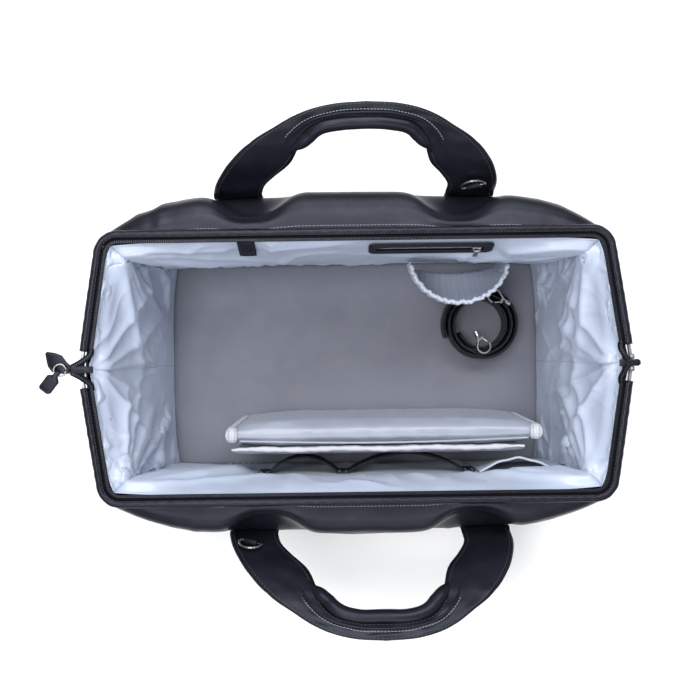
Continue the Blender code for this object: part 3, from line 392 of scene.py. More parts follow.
def fans(seed, s, t, roots, count, width, depth, length):
    """Height of sharp creases that spread out from root points (s, t, heading, spread)."""
    rng = np.random.default_rng(seed)
    total = np.zeros_like(s)
    for cs, ct, heading, spread in roots:
        for k in range(count):
            angle = math.radians(heading) + spread * (2 * (k + rng.uniform(0.15, 0.85)) / count - 1)
            reach = length * rng.uniform(0.6, 1.15)
            deep = depth * rng.uniform(0.45, 1.0)
            curl = rng.normal(0, 0.9)
            along = (s - cs) * math.cos(angle) + (t - ct) * math.sin(angle)
            off = -(s - cs) * math.sin(angle) + (t - ct) * math.cos(angle) - curl * along ** 2
            wide = width * (0.35 + 0.65 * np.clip(along / reach, 0, 1))
            rise = smooth(along / (0.12 * reach)) * smooth((1.25 * reach - along) / (0.6 * reach))
            total += deep * rise * np.exp(-np.sqrt((off / wide) ** 2 + 0.02))
    return total


def ripples(seed, s, t, wavelength, waves=10):
    """Smooth uneven relief between about -1 and 1."""
    rng = np.random.default_rng(seed)
    total = np.zeros_like(s)
    for _ in range(waves):
        angle = rng.uniform(0, 2 * math.pi)
        k = 2 * math.pi / (wavelength * rng.uniform(0.6, 1.8))
        total += np.sin(k * (s * math.cos(angle) + t * math.sin(angle)) + rng.uniform(0, 6.28))
    return total / math.sqrt(waves * 2)


def calm(areas, x, z):
    """0 where a pocket or tab is sewn on the lining, rising to 1 a little way off."""
    keep = np.ones_like(x)
    for x_low, x_high, z_low, z_high in areas:
        past_x = np.maximum(np.maximum(x_low - x, x - x_high), 0)
        past_z = np.maximum(np.maximum(z_low - z, z - z_high), 0)
        keep *= smooth(np.hypot(past_x, past_z) / SEWN_MARGIN)
    return keep


def fades(count, low, high):
    """A column of shares that grows over the low end and dies out over the high end."""
    level = np.linspace(0, 1, count)[:, None]
    return smooth((1 - level) / high) * smooth(level / low)


# ---------------------------------------------------------------- meshes
def new_object(name, vertices, faces, made_of, flat=False):
    mesh = bpy.data.meshes.new(name)
    mesh.from_pydata([tuple(v) for v in vertices], [], faces)
    mesh.materials.append(made_of)
    if not flat:
        shade_smooth(mesh)
    mesh.update()
    made = bpy.data.objects.new(name, mesh)
    bpy.context.scene.collection.objects.link(made)
    return made


def shade_smooth(mesh):
    mesh.polygons.foreach_set("use_smooth", [True] * len(mesh.polygons))


def places_of(made):
    return np.array([v.co for v in made.data.vertices], float)


def place_grid(point, across, along):
    """Array of points, along rows by across columns."""
    return np.array([[point(i / across, j / along) for i in range(across + 1)]
                     for j in range(along + 1)], float)


def grid_normals(grid):
    normal = np.cross(np.gradient(grid, axis=1), np.gradient(grid, axis=0))
    return normal / np.maximum(np.linalg.norm(normal, axis=2, keepdims=True), 1e-12)


def facing(grid, axis, sign):
    """The grid's normals, turned to the side where their part along an axis has this sign."""
    normal = grid_normals(grid)
    return normal * np.sign(normal[:, :, axis:axis + 1] * sign)


def lifted(grid, normal, height):
    """The grid moved along its normals."""
    return grid + normal * height[:, :, None]


def refined(grid, rows, columns):
    """The same surface sampled on a finer grid, smoothly in both directions."""
    def stretch(values, count):
        at = np.linspace(0, len(values) - 1, count)
        k = np.clip(at.astype(int), 0, len(values) - 2)
        t = (at - k)[:, None, None]
        p0, p1 = values[np.maximum(k - 1, 0)], values[k]
        p2, p3 = values[k + 1], values[np.minimum(k + 2, len(values) - 1)]
        return 0.5 * (2 * p1 + (p2 - p0) * t + (2 * p0 - 5 * p1 + 4 * p2 - p3) * t ** 2
                      + (3 * p1 - p0 - 3 * p2 + p3) * t ** 3)
    return stretch(stretch(grid, rows).transpose(1, 0, 2), columns).transpose(1, 0, 2)


def grid_faces(rows, columns, wrap=False):
    faces = []
    for j in range(rows - 1):
        for i in range(columns if wrap else columns - 1):
            k, n = j * columns + i, j * columns + (i + 1) % columns
            faces.append((k, n, n + columns, k + columns))
    return faces


def ring_faces(count, sides, closed=False):
    """Faces between rings of points, with two end caps or closed into a loop."""
    base = (count - 1) * sides
    if closed:
        ends = [(base + i, base + (i + 1) % sides, (i + 1) % sides, i) for i in range(sides)]
    else:
        ends = [tuple(range(sides))[::-1], tuple(range(base, base + sides))]
    return grid_faces(count, sides, wrap=True) + ends


def cloth(name, grid, made_of, thickness, offset):
    """A grid surface, thickened on one side."""
    made = new_object(name, grid.reshape(-1, 3), grid_faces(*grid.shape[:2]), made_of)
    solid = made.modifiers.new("thickness", "SOLIDIFY")
    solid.thickness = thickness
    solid.offset = offset
    return made


def loft(name, rings, made_of, closed=False):
    """Rings of points joined into one surface."""
    vertices = [v for ring in rings for v in ring]
    return new_object(name, vertices, ring_faces(len(rings), len(rings[0]), closed), made_of)


def two_faced(name, top, bottom, made_of):
    """A closed strip between an upper and a lower grid."""
    return loft(name, np.concatenate([top, bottom[:, ::-1]], axis=1), made_of)


def path_frames(points, closed=False, up=None):
    """Tangent, side and up direction at each point."""
    count = len(points)
    frames = []
    side = None
    for k in range(count):
        before = points[(k - 1) % count] if closed or k else points[0]
        after = points[(k + 1) % count] if closed or k < count - 1 else points[-1]
        tangent = (after - before).normalized()
        if up is not None:
            side = tangent.cross(up).normalized()
        elif side is None:
            helper = UP if abs(tangent.z) < 0.9 else Vector((1, 0, 0))
            side = tangent.cross(helper).normalized()
        else:
            side = (side - tangent * side.dot(tangent)).normalized()
        frames.append((tangent, side, side.cross(tangent)))
    return frames


def tube(name, points, radius, made_of, sides=12, closed=False, relief=None):
    """A round tube; relief(run, angle) adds to its radius."""
    rings = []
    run = 0.0
    for k, (point, (_, side, up)) in enumerate(zip(points, path_frames(points, closed))):
        run += (point - points[k - 1]).length if k else 0.0
        ring = []
        for i in range(sides):
            angle = 2 * math.pi * i / sides
            r = radius + (relief(run, angle) if relief else 0.0)
            ring.append(point + side * (r * math.cos(angle)) + up * (r * math.sin(angle)))
        rings.append(ring)
    return loft(name, rings, made_of, closed=closed)


def sweep(name, points, section, made_of, up=UP):
    """A section of (side, lift) pairs carried along a path."""
    rings = [[point + side * a + lift * b for a, b in section]
             for point, (_, side, lift) in zip(points, path_frames(points, up=up))]
    return loft(name, rings, made_of)


def zip_tape(name, points, width):
    """A level strip of tape with soft edges along a path."""
    w, t = width / 2, TAPE_T / 2
    half = [(-w * 0.93, t * 0.8), (-w * 0.75, t), (w * 0.75, t), (w * 0.93, t * 0.8)]
    return sweep(name, points, [(-w, 0)] + half + [(w, 0)] + [(a, -b) for a, b in reversed(half)], TAPE)


def boxes(name, places, size, made_of):
    """Many small tapered blocks in one mesh; places are (centre, along, across, up)."""
    vertices, faces = [], []
    a, b, c = (x / 2 for x in size)
    for centre, along, across, up in places:
        k = len(vertices)
        for z, w in ((-c, 1.0), (c, 0.8)):
            for x, y in ((-a, -b), (a, -b), (a, b), (-a, b)):
                vertices.append(centre + along * (x * w) + across * (y * w) + up * z)
        faces += [(k, k + 3, k + 2, k + 1), (k + 4, k + 5, k + 6, k + 7)]
        faces += [(k + i, k + (i + 1) % 4, k + 4 + (i + 1) % 4, k + 4 + i) for i in range(4)]
    return new_object(name, vertices, faces, made_of, flat=True)


def teeth(name, path, size):
    """Dark zipper teeth along a level path."""
    chain = resample(path, TEETH_PITCH)
    return boxes(name, [(p, *axes) for p, axes in zip(chain, path_frames(chain, up=UP))], size, TEETH)


def strip(name, grid, thickness, made_of, relief, seed, edge=0.35):
    """A closed strip round a middle surface, thin at its two long edges; also gives its faces and normals."""
    rows, columns = grid.shape[:2]
    normal = grid_normals(grid)
    c = np.linspace(0, 1, columns)[None, :]
    puff = edge + (1 - edge) * np.clip(np.sin(np.pi * c), 0, 1) ** 0.4
    wave = ripples(seed, np.arange(rows)[:, None] * 0.002 + 0 * c, c * 0.03 + np.zeros((rows, 1)), 0.02)
    half = thickness / 2 * puff + relief * wave * puff
    top, bottom = lifted(grid, normal, half), lifted(grid, -normal, half)
    return two_faced(name, top, bottom, made_of), top, bottom, normal


def pillow(name, outline, low, high, edge, made_of):
    """A flat padded shape over an outline, with rounded rims."""
    middle = sum(outline, Vector()) / len(outline)
    cap = 0.55
    levels = [(cap, low), (edge, low), (edge * 0.3, low + edge * 0.4), (0.0, (low + high) / 2),
              (edge * 0.3, high - edge * 0.4), (edge, high), (cap, high + edge * 0.15)]
    rings = []
    for inset, z in levels:
        ring = []
        for p in outline:
            inward = middle - p
            q = p + (inward if inset == cap else inward.normalized()) * inset
            ring.append(Vector((q.x, q.y, z)))
        rings.append(ring)
    return loft(name, rings, made_of)


def rounded_slab(name, half_x, half_y, corner, low, high, edge, made_of, relief=None):
    """A level plate with rounded corners and soft edges, its top following relief(x, y)."""
    outline = resample(at_height(rounded_box(half_x, half_y, corner, 12), 0), 0.006, True)
    levels = [(0.02, edge, low), (1.0, edge, low), (1.0, 0.0, low + edge), (1.0, 0.0, high - edge),
              (1.0, edge, high)]
    rings = [[Vector((p.x * (1 - pull / half_x) * share, p.y * (1 - pull / half_y) * share, z))
              for p in outline] for share, pull, z in levels]
    for share in [0.96, 0.9, 0.8, 0.68, 0.55, 0.42, 0.3, 0.18, 0.08, 0.01]:
        inner = [p * share for p in outline]
        rings.append([Vector((p.x, p.y, high + (relief(p.x, p.y) if relief else 0))) for p in inner])
    return loft(name, rings, made_of)


def stitches(name, lines, made_of, size):
    """Rows of thread; each line is its points and their outward direction, one for all or one for each."""
    pitch, length, radius = size
    profile = [(-0.5, 0.25), (-0.42, 0.8), (-0.2, 1.0), (0.2, 1.0), (0.42, 0.8), (0.5, 0.25)]
    sides = 6
    one = ring_faces(len(profile), sides)
    vertices, faces = [], []
    for points, outward in lines:
        pts = np.array([tuple(p) for p in points], float)
        outs = np.zeros_like(pts) + np.array(outward, float)
        run = distances(pts)

        def between(values, at):
            return Vector([np.interp(at, run, values[:, k]) for k in range(3)])
        for at in np.arange(pitch / 2, run[-1], pitch):
            here = between(pts, at)
            ahead, back = between(pts, min(at + pitch / 3, run[-1])), between(pts, max(at - pitch / 3, 0))
            out = between(outs, at).normalized()
            along = (ahead - back).normalized()
            side = along.cross(out).normalized()
            faces += [tuple(len(vertices) + k for k in face) for face in one]
            for x, r in profile:
                lift = radius * (0.35 + 0.25 * (r - 1))
                for i in range(sides):
                    angle = 2 * math.pi * i / sides
                    vertices.append(here + along * (x * length) + side * (r * radius * math.cos(angle))
                                    + out * (r * radius * math.sin(angle) + lift))
    return new_object(name, vertices, faces, made_of)


def settle(made, frames, gravity, quality, **settings):
    """Run the cloth solver on a mesh and give back where its points end."""
    sim = made.modifiers.new("cloth", "CLOTH")
    sim.settings.quality = quality
    for key, value in settings.items():
        setattr(sim.settings, key, value)
    sim.settings.effector_weights.gravity = gravity
    sim.point_cache.frame_start = 1
    sim.point_cache.frame_end = frames
    for step in range(1, frames + 1):
        bpy.context.scene.frame_set(step)
    moved = places_of(made.evaluated_get(bpy.context.evaluated_depsgraph_get()))
    made.modifiers.remove(sim)
    bpy.context.scene.frame_set(1)
    return moved


# ---------------------------------------------------------------- materials
def add(tree, kind, inputs=None, **settings):
    """A shader node with its settings; an input that is a socket is linked."""
    made = tree.nodes.new("ShaderNode" + kind)
    for key, value in settings.items():
        setattr(made, key, value)
    for key, value in (inputs or {}).items():
        if isinstance(value, bpy.types.NodeSocket):
            tree.links.new(value, made.inputs[key])
        else:
            made.inputs[key].default_value = value
    return made


def principled(name, color, roughness, metallic=0.0):
    made = bpy.data.materials.new(name)
    made.use_nodes = True
    tree = made.node_tree
    shader = tree.nodes["Principled BSDF"]
    shader.inputs["Base Color"].default_value = (*color, 1.0)
    shader.inputs["Roughness"].default_value = roughness
    shader.inputs["Metallic"].default_value = metallic
    place = add(tree, "TexCoord").outputs["Object"]
    return made, tree, shader, place


def noise(tree, place, scale, detail=3.0, roughness=0.55):
    return add(tree, "TexNoise", {"Vector": place, "Scale": scale, "Detail": detail,
                                  "Roughness": roughness}).outputs["Fac"]


def wave(tree, place, scale, direction, distortion=0.0):
    return add(tree, "TexWave", {"Vector": place, "Scale": scale, "Distortion": distortion},
               bands_direction=direction).outputs["Fac"]


def ramp(tree, value, low, high, to_low, to_high):
    return add(tree, "MapRange", {"Value": value, "From Min": low, "From Max": high,
                                  "To Min": to_low, "To Max": to_high}).outputs["Result"]


def two_tone(tree, shader, value, low, first, second):
    """Base colour that drifts between two colours."""
    mixed = add(tree, "Mix", {"Factor": ramp(tree, value, low, 0.7, 0.0, 1.0)}, data_type="RGBA")
    mixed.inputs["A"].default_value = (*first, 1.0)
    mixed.inputs["B"].default_value = (*second, 1.0)
    tree.links.new(mixed.outputs["Result"], shader.inputs["Base Color"])


def uneven(tree, shader, value, smoother, rougher):
    """Polish that varies over the surface."""
    tree.links.new(ramp(tree, value, 0.3, 0.7, smoother, rougher), shader.inputs["Roughness"])


def bump(tree, shader, layers):
    """Stack bump layers of (height, strength, distance) on the shader's normal."""
    normal = None
    for height, strength, distance in layers:
        inputs = {"Height": height, "Strength": strength, "Distance": distance}
        if normal is not None:
            inputs["Normal"] = normal
        normal = add(tree, "Bump", inputs).outputs["Normal"]
    tree.links.new(normal, shader.inputs["Normal"])


def leather(name, color, shine=0.40, grain=900.0, gloss=0.25):
    """Leatherette: fine pebble grain, shallow creases and uneven polish."""
    made, tree, shader, place = principled(name, color, shine)
    voronoi = add(tree, "TexVoronoi", {"Vector": place, "Scale": grain}, feature="SMOOTH_F1")
    cells = voronoi.outputs["Distance"]
    pores = noise(tree, place, grain * 1.7, 2.0)
    creases = noise(tree, place, 55.0, 5.0, 0.6)
    lighter = tuple(c * 1.55 + 0.002 for c in color)
    two_tone(tree, shader, noise(tree, place, 14.0), 0.35, color, lighter)
    uneven(tree, shader, creases, shine - 0.05, shine + 0.09)
    bump(tree, shader, [(cells, 0.22, 0.0003), (pores, 0.10, 0.0002), (creases, 0.30, 0.0010)])
    shader.inputs["Specular IOR Level"].default_value = gloss
    shader.inputs["Specular Tint"].default_value = (0.78, 0.82, 1.0, 1.0)
    return made


def woven(name, color, roughness, threads, sheen, crumple, gloss=0.5):
    """Plain-woven cloth: crossing threads, small crumples and a faint sheen."""
    made, tree, shader, place = principled(name, color, roughness)
    warp, weft = (wave(tree, place, threads / 6.28, direction, 0.6) for direction in "XZ")
    weave = add(tree, "Math", {0: warp, 1: weft}, operation="MULTIPLY").outputs["Value"]
    crumples = noise(tree, place, 42.0, 6.0, 0.62)
    two_tone(tree, shader, noise(tree, place, 9.0), 0.3, tuple(c * 0.84 for c in color), color)
    uneven(tree, shader, crumples, roughness - 0.06, roughness + 0.08)
    bump(tree, shader, [(weave, 0.12, 0.0002), (crumples, crumple, 0.0016)])
    shader.inputs["Sheen Weight"].default_value = sheen
    shader.inputs["Specular IOR Level"].default_value = gloss
    return made


def metal(name, color, roughness):
    """Polished or satin metal with faint smears and fine scratches."""
    made, tree, shader, place = principled(name, color, roughness, 1.0)
    uneven(tree, shader, noise(tree, place, 90.0, 4.0), roughness * 0.75, roughness * 1.5 + 0.03)
    bump(tree, shader, [(noise(tree, place, 1800.0, 2.0), 0.06, 0.0001)])
    return made


def thread(name, color):
    made, tree, shader, place = principled(name, color, 0.55)
    bump(tree, shader, [(wave(tree, place, 900.0, "DIAGONAL"), 0.3, 0.0001)])
    return made


def paper(name):
    return principled(name, (0.97, 0.97, 0.97), 0.9)[0]


LEATHER = leather("leather_body", (0.0062, 0.0067, 0.0108), 0.36)
LEATHER_STRAP = leather("leather_strap", (0.0048, 0.0052, 0.0088), 0.34, 1000.0)
LEATHER_TRIM = leather("leather_trim", (0.0040, 0.0043, 0.0070), 0.38, 1100.0)
NYLON = woven("nylon_lining", (0.455, 0.515, 0.645), 0.32, 1500.0, 0.12, 0.30)
NYLON_RIM = woven("nylon_rim", (0.470, 0.515, 0.610), 0.42, 1300.0, 0.15, 0.20)
FLOOR_CLOTH = woven("floor_cloth", (0.166, 0.175, 0.212), 0.60, 1100.0, 0.10, 0.35)
MAT_CLOTH = woven("mat_cloth", (0.305, 0.335, 0.410), 0.32, 1600.0, 0.12, 0.18)
MAT_WHITE = woven("mat_white", (0.560, 0.570, 0.610), 0.75, 900.0, 0.30, 0.20)
MAT_EDGE = woven("mat_edge", (0.470, 0.490, 0.540), 0.60, 1000.0, 0.20, 0.15)
TAPE = woven("zipper_tape", (0.0040, 0.0042, 0.0060), 0.75, 1800.0, 0.0, 0.10, 0.10)
TEETH = leather("zipper_teeth", (0.0120, 0.0126, 0.0170), 0.36, 600.0, 0.40)
SILVER_TEETH = metal("silver_teeth", (0.62, 0.62, 0.64), 0.28)
BRIGHT = metal("bright_metal", (0.36, 0.36, 0.37), 0.24)
NICKEL = metal("ring_nickel", (0.20, 0.20, 0.21), 0.30)
DARK_METAL = metal("dark_metal", (0.030, 0.030, 0.034), 0.40)
STEEL = metal("frame_steel", (0.30, 0.30, 0.32), 0.36)
THREAD_DARK = thread("thread_dark", (0.030, 0.032, 0.042))
THREAD_PALE = thread("thread_pale", (0.300, 0.320, 0.370))
THREAD_LINING = thread("thread_lining", (0.170, 0.195, 0.250))
BOARD = leather("board", (0.030, 0.030, 0.032), 0.70, 500.0)


# ---------------------------------------------------------------- joining pieces to the frame
def stands_for(made, nodes):
    if nodes:
        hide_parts(*nodes)
    return made


def go(made, body, slot, *nodes):
    """The piece moves with one body."""
    return stands_for(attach(made, body), nodes)


def bend(made, body, weight, slot, *nodes):
    """Bake the piece's placement into its mesh and hide the CAD nodes it stands for; the weight is worked out
    but not kept, so the piece stays where it is.
    """
    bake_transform(made)
    weight(places_of(made)).astype(np.float32)
    return stands_for(made, nodes)


def sew(name, lines, made_of, size, body, slot):
    go(stitches(name, lines, made_of, size), body, slot)


def rim_weight(band):
    """Weight that grows over a band of heights and dies out at the hinges."""
    def weight(co):
        rise = smooth((co[:, 2] - band[0]) / (band[1] - band[0]))
        return rise * smooth(np.abs(co[:, 1]) / 0.020)
    return weight


def show_node(name, made_of):
    """Show a CAD node as it is, in its finished material."""
    node = frame["nodes"][name]
    node.data.materials.clear()
    node.data.materials.append(made_of)
    shade_smooth(node.data)


# ---------------------------------------------------------------- outer shell
def make_panels():
    """The bulging leather panels with a row of pale thread under the rim."""
    across, along = 150, 66
    for index, (name, side) in enumerate(SIDES.items()):
        body, weight = name + "_frame", rim_weight(RIM_TURN)
        grid = place_grid(lambda u, v: panel_point(name, 2 * u - 1, v), across, along)
        s, t = grid[:, :, 0] + 0.25, grid[:, :, 2]
        relief = 0.0010 * ripples(11 + index, s, t, 0.10)
        relief += folds(21 + index, s, t, (0.5, 0.2), count=26, width=0.0050, depth=0.0016, heading=78,
                        spread=0.30, length=0.035)
        crest = np.exp(-((t - CREST_Z) / CREST_W) ** 2)
        relief += crest * folds(31 + index, s, t, (0.5, 0.2), count=40, width=0.0035, depth=0.0018,
                                heading=20, spread=0.5, length=0.030)
        relief -= relief.mean()
        grid = lifted(grid, grid_normals(grid) * -side, relief * fades(along + 1, 0.08, 0.10))
        bend(cloth(name + "_leather_panel", grid, LEATHER, LEATHER_T, side), body, weight, "leather",
             name + "_panel")
        v, step = RIM_STITCH_LEVEL, 0.01
        seam, outs = [], []
        for k in range(141):
            u = -0.97 + 1.94 * k / 140
            here = Vector(panel_point(name, u, v))
            ahead = Vector(panel_point(name, u + step, v))
            up = Vector(panel_point(name, u, v + step))
            seam.append(here)
            outs.append(((ahead - here).cross(up - here) * -side).normalized())
        row = stitches(name + "_rim_stitches", [(seam, outs)], THREAD_PALE, SEAM_THREAD)
        bend(row, body, weight, "leather")


def make_gussets():
    """The side walls, in a back half and a front half."""
    across, along = 48, 60
    for index, (hand_name, hand) in enumerate(HANDS.items()):
        for name, side in SIDES.items():
            grid = place_grid(lambda u, v: gusset_point(hand, side * u, v), across, along)
            s, t = grid[:, :, 1] + 0.15, grid[:, :, 2]
            edge = smooth(np.linspace(1, 0, across + 1)[None, :] / 0.06)
            relief = 0.0010 * ripples(41 + index, s, t, 0.09)
            relief += folds(51 + index, s, t, (0.3, 0.2), count=20, width=0.0060, depth=0.0022, heading=90,
                            spread=0.35, length=0.045) - 0.0008
            grid = lifted(grid, facing(grid, 0, hand), relief * fades(along + 1, 0.08, 0.08) * edge)
            made = cloth(f"{hand_name}_gusset_{name}", grid, LEATHER, LEATHER_T, -hand * side)
            bend(made, name + "_frame", rim_weight(RIM_TURN), "leather", hand_name + "_gusset")


def make_corner_piping():
    """Piped seams between panels and side walls."""
    for name, side in SIDES.items():
        for hand_name, hand in HANDS.items():
            points = [Vector(panel_point(name, hand, k / 60)) + Vector((hand * 0.0006, -side * 0.0006, 0))
                      for k in range(61)]
            made = tube(f"{name}_piping_{hand_name}", resample(points, 0.0035), PIPING_R, LEATHER_TRIM, 10)
            bend(made, name + "_frame", rim_weight(RIM_TURN), "leather")


def make_base():
    """The bottom with its piping, and its board and feet."""
    low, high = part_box("base_panel")
    made = rounded_slab("base_leather", high.x, high.y, BASE_CORNER, low.z, high.z, 0.0012, LEATHER)
    go(made, BAG, "leather", "base_panel")
    outline = resample(at_height(rounded_box(high.x, high.y, BASE_CORNER, 8), high.z), 0.004, True)
    go(tube("base_piping", outline, 0.0018, LEATHER_TRIM, 10, closed=True), BAG, "leather")
    show_node("base_board", BOARD)
    for name in ("foot_front_left", "foot_front_right", "foot_back_left", "foot_back_right"):
        show_node(name, BRIGHT)


# ---------------------------------------------------------------- lining
def rumple(grid, inward, seed):
    """Let a slightly oversized cloth held at its four edges settle into folds; returns the new grid."""
    most = 0.014
    rows, columns = grid.shape[:2]
    middle = fades(rows, 0.15, 0.15) * fades(columns, 0.12, 0.12).T
    s = np.linspace(0, 0.24, columns)[None, :] + np.zeros((rows, 1))
    t = np.linspace(0, 0.19, rows)[:, None] + np.zeros((1, columns))
    start = lifted(grid, inward, (0.0020 + 0.0030 * ripples(seed, s, t, 0.070)) * middle)
    made = new_object("side_cloth", start.reshape(-1, 3), grid_faces(rows, columns), NYLON)
    edge = [j * columns + i for j in range(rows) for i in range(columns)
            if i in (0, columns - 1) or j in (0, rows - 1)]
    made.vertex_groups.new(name="hold").add(edge, 1.0, "REPLACE")
    moved = settle(made, 26, 0.25, 6, mass=0.10, tension_stiffness=20, compression_stiffness=20,
                   shear_stiffness=6, bending_stiffness=0.02, tension_damping=8, compression_damping=8,
                   bending_damping=0.5, air_damping=2.0, shrink_min=-0.09, vertex_group_mass="hold")
    bpy.data.objects.remove(made, do_unlink=True)
    shift = moved.reshape(grid.shape) - grid
    depth = (shift * inward).sum(axis=2, keepdims=True)
    slide = shift - inward * depth
    slide *= np.minimum(1.0, 0.004 / np.maximum(np.linalg.norm(slide, axis=2, keepdims=True), 1e-9))
    return grid + slide + inward * (most * np.tanh(np.clip(depth, -0.0002, None) / most))


def make_lining_walls():
    """The long lining walls, creased from their upper corners and calm behind what is sewn on."""
    across, along = 150, 50
    roots = [(0.012, 0.202, -34, 0.36), (0.488, 0.202, -146, 0.36)]
    for index, (name, side) in enumerate(SIDES.items()):
        body, weight = name + "_frame", rim_weight(LINING_TURN[name])
        grid = place_grid(lambda u, v: lining_wall_point(side, 2 * u - 1, v), across, along)
        normal = grid_normals(grid) * side
        s, t = grid[:, :, 0] + 0.25, grid[:, :, 2]
        relief = folds(61 + index, s, t, (0.5, 0.2), count=46, width=0.0045, depth=0.0030, heading=70,
                       spread=0.7, length=0.040)
        relief += 0.0006 + 0.0006 * ripples(71 + index, s, t, 0.045)
        relief += fans(75 + index, s, t, roots, count=6, width=0.0080, depth=0.0085, length=0.190)
        fade = fades(along + 1, 0.14, 0.10) * calm(SEWN_ON[name], grid[:, :, 0], t)
        grid = lifted(grid, normal, np.clip(relief, 0, 0.0095) * fade)
        bend(cloth("lining_wall_" + name, grid, NYLON, LINING_T, side), body, weight, "nylon_lining",
             "lining_" + name)
        j = int(LINING_STITCH_LEVEL * along)
        outs = normal[j, 2:across - 1]
        row = stitches("lining_stitches_" + name, [(grid[j, 2:across - 1] + outs * THREAD_LIFT, outs)],
                       THREAD_LINING, SEAM_THREAD)
        bend(row, body, weight, "nylon_lining")


def make_lining_sides():
    """The short lining walls, in a back half and a front half."""
    rows, columns = 91, 141
    middle = columns // 2
    roots = [(0.150, 0.200, -90, 1.00), (0.032, 0.198, -50, 0.40), (0.268, 0.198, -130, 0.40)]
    weight = rim_weight(LINING_TURN["back"])
    for index, (hand_name, hand) in enumerate(HANDS.items()):
        coarse = place_grid(lambda u, v: lining_side_point(hand, 2 * u - 1, v), 70, 56)
        whole = refined(rumple(coarse, facing(coarse, 0, -hand), 140 + index), rows, columns)
        normal = facing(whole, 0, -hand)
        s, t = whole[:, :, 1] + 0.15, whole[:, :, 2]
        relief = folds(85 + index, s, t, (0.3, 0.2), count=16, width=0.0040, depth=0.0030, heading=100,
                       spread=0.60, length=0.045)
        relief += folds(91 + index, s, t, (0.3, 0.2), count=40, width=0.0018, depth=0.0010, heading=120,
                        spread=0.9, length=0.022)
        relief += 0.0004 + 0.0004 * ripples(101 + index, s, t, 0.035)
        relief += fans(95 + index, s, t, roots, count=5, width=0.0085, depth=0.0095, length=0.150)
        whole = lifted(whole, normal, np.clip(relief, 0, 0.011) * fades(rows, 0.16, 0.08))
        j = int(LINING_STITCH_LEVEL * (rows - 1))
        seam, outs = [], []
        for k in range(101):
            i = (1 + 0.97 * (2 * k / 100 - 1)) / 2 * (columns - 1)
            here = whole[j, int(i)] * (1 - i % 1) + whole[j, min(int(i) + 1, columns - 1)] * (i % 1)
            seam.append(here + normal[j, int(i)] * THREAD_LIFT)
            outs.append(normal[j, int(i)])
        seam, outs = np.array(seam), np.array(outs)
        for name, side in SIDES.items():
            grid = whole[:, middle:] if side > 0 else whole[:, middle::-1]
            made = cloth(f"lining_{hand_name}_{name}", grid, NYLON, LINING_T, -hand * side)
            bend(made, name + "_frame", weight, "nylon_lining", "lining_" + hand_name)
        for name, side in SIDES.items():
            half = seam[:, 1] * side > -0.001
            row = stitches(f"lining_stitches_{hand_name}_{name}", [(seam[half], outs[half])], THREAD_LINING,
                           LINING_THREAD)
            bend(row, name + "_frame", weight, "nylon_lining")


def make_lining_floor():
    low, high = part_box("lining_floor")

    def crumple(x, y):
        edge = min(1.0, (high.x - abs(x)) / 0.03, (high.y - abs(y)) / 0.03)
        waves = ripples(111, np.array([x]), np.array([y]), 0.05)[0]
        return max(0.0, edge) * 0.0006 * (1 + waves)
    floor = rounded_slab("lining_bottom", high.x, high.y, 0.008, low.z, high.z, 0.0004, FLOOR_CLOTH, crumple)
    go(floor, BAG, "floor_lining", "lining_floor")


# ---------------------------------------------------------------- frame
def make_frame():
    """Each wire bow with its leather sleeve, zipper tape and teeth."""
    def puckers(run, angle):
        return 0.00022 * math.sin(run * 520) * math.sin(run * 83 + 2 * angle) + 0.00015 * math.sin(run * 40)
    for name, side in SIDES.items():
        body = name + "_frame"
        path = bow_path(side, SLEEVE_START_Y, spacing=0.0022)
        sleeve = tube(name + "_sleeve_leather", path, SLEEVE_R - 0.0003, LEATHER_STRAP, 24, relief=puckers)
        go(sleeve, body, "leather", name + "_sleeve")
        seam = bow_path(side, ZIP_START_Y, 0.0030, 0.0033)
        sew(name + "_sleeve_stitches", [(seam, UP)], THREAD_DARK, SEAM_THREAD, body, "leather")
        path = bow_path(side, ZIP_START_Y, (TAPE_OUT + TAPE_IN) / 2)
        go(zip_tape(name + "_tape", path, TAPE_IN - TAPE_OUT + 0.0006), body, "zipper", name + "_zip_half")
        chain = bow_path(side, ZIP_START_Y, TEETH_INSET, 0.0012)
        go(teeth(name + "_teeth", chain, (0.0013, 0.0030, 0.0016)), body, "zipper")
        show_node(name + "_bow", STEEL)
    for hand in HANDS:
        show_node(hand + "_hinge_plate", STEEL)


# ---------------------------------------------------------------- handles
def handle_point(name, across, along):
    """Middle surface of a handle; along runs from the left hinge (0) to the right one (1)."""
    half = 1 - abs(2 * along - 1)
    outer, inner = spline(HANDLE_OUTER, half), spline(HANDLE_INNER, half)
    x = outer[0] + (inner[0] - outer[0]) * across
    z = outer[1] + (inner[1] - outer[1]) * across
    hand = -1.0 if along < 0.5 else 1.0
    rise = (z - HANDLE_OUTER[0][1]) / (HANDLE_OUTER[-1][1] - HANDLE_OUTER[0][1])
    return Vector((hand * x + HANDLE_SHIFT[name] + HANDLE_SWAY * rise, SIDES[name] * strap_y(name, z), z))


def anchor_point(name, hand, across, z):
    """Middle surface of a strap's sewn end; across 0 is the edge away from the bag's middle."""
    half_w = (HANDLE_OUTER[0][0] - HANDLE_INNER[0][0]) / 2
    x = hand * (HANDLE_X + half_w * (1 - 2 * across)) + HANDLE_SHIFT[name]
    return Vector((x, SIDES[name] * (panel_y(name, x, z) + 0.0028), z))


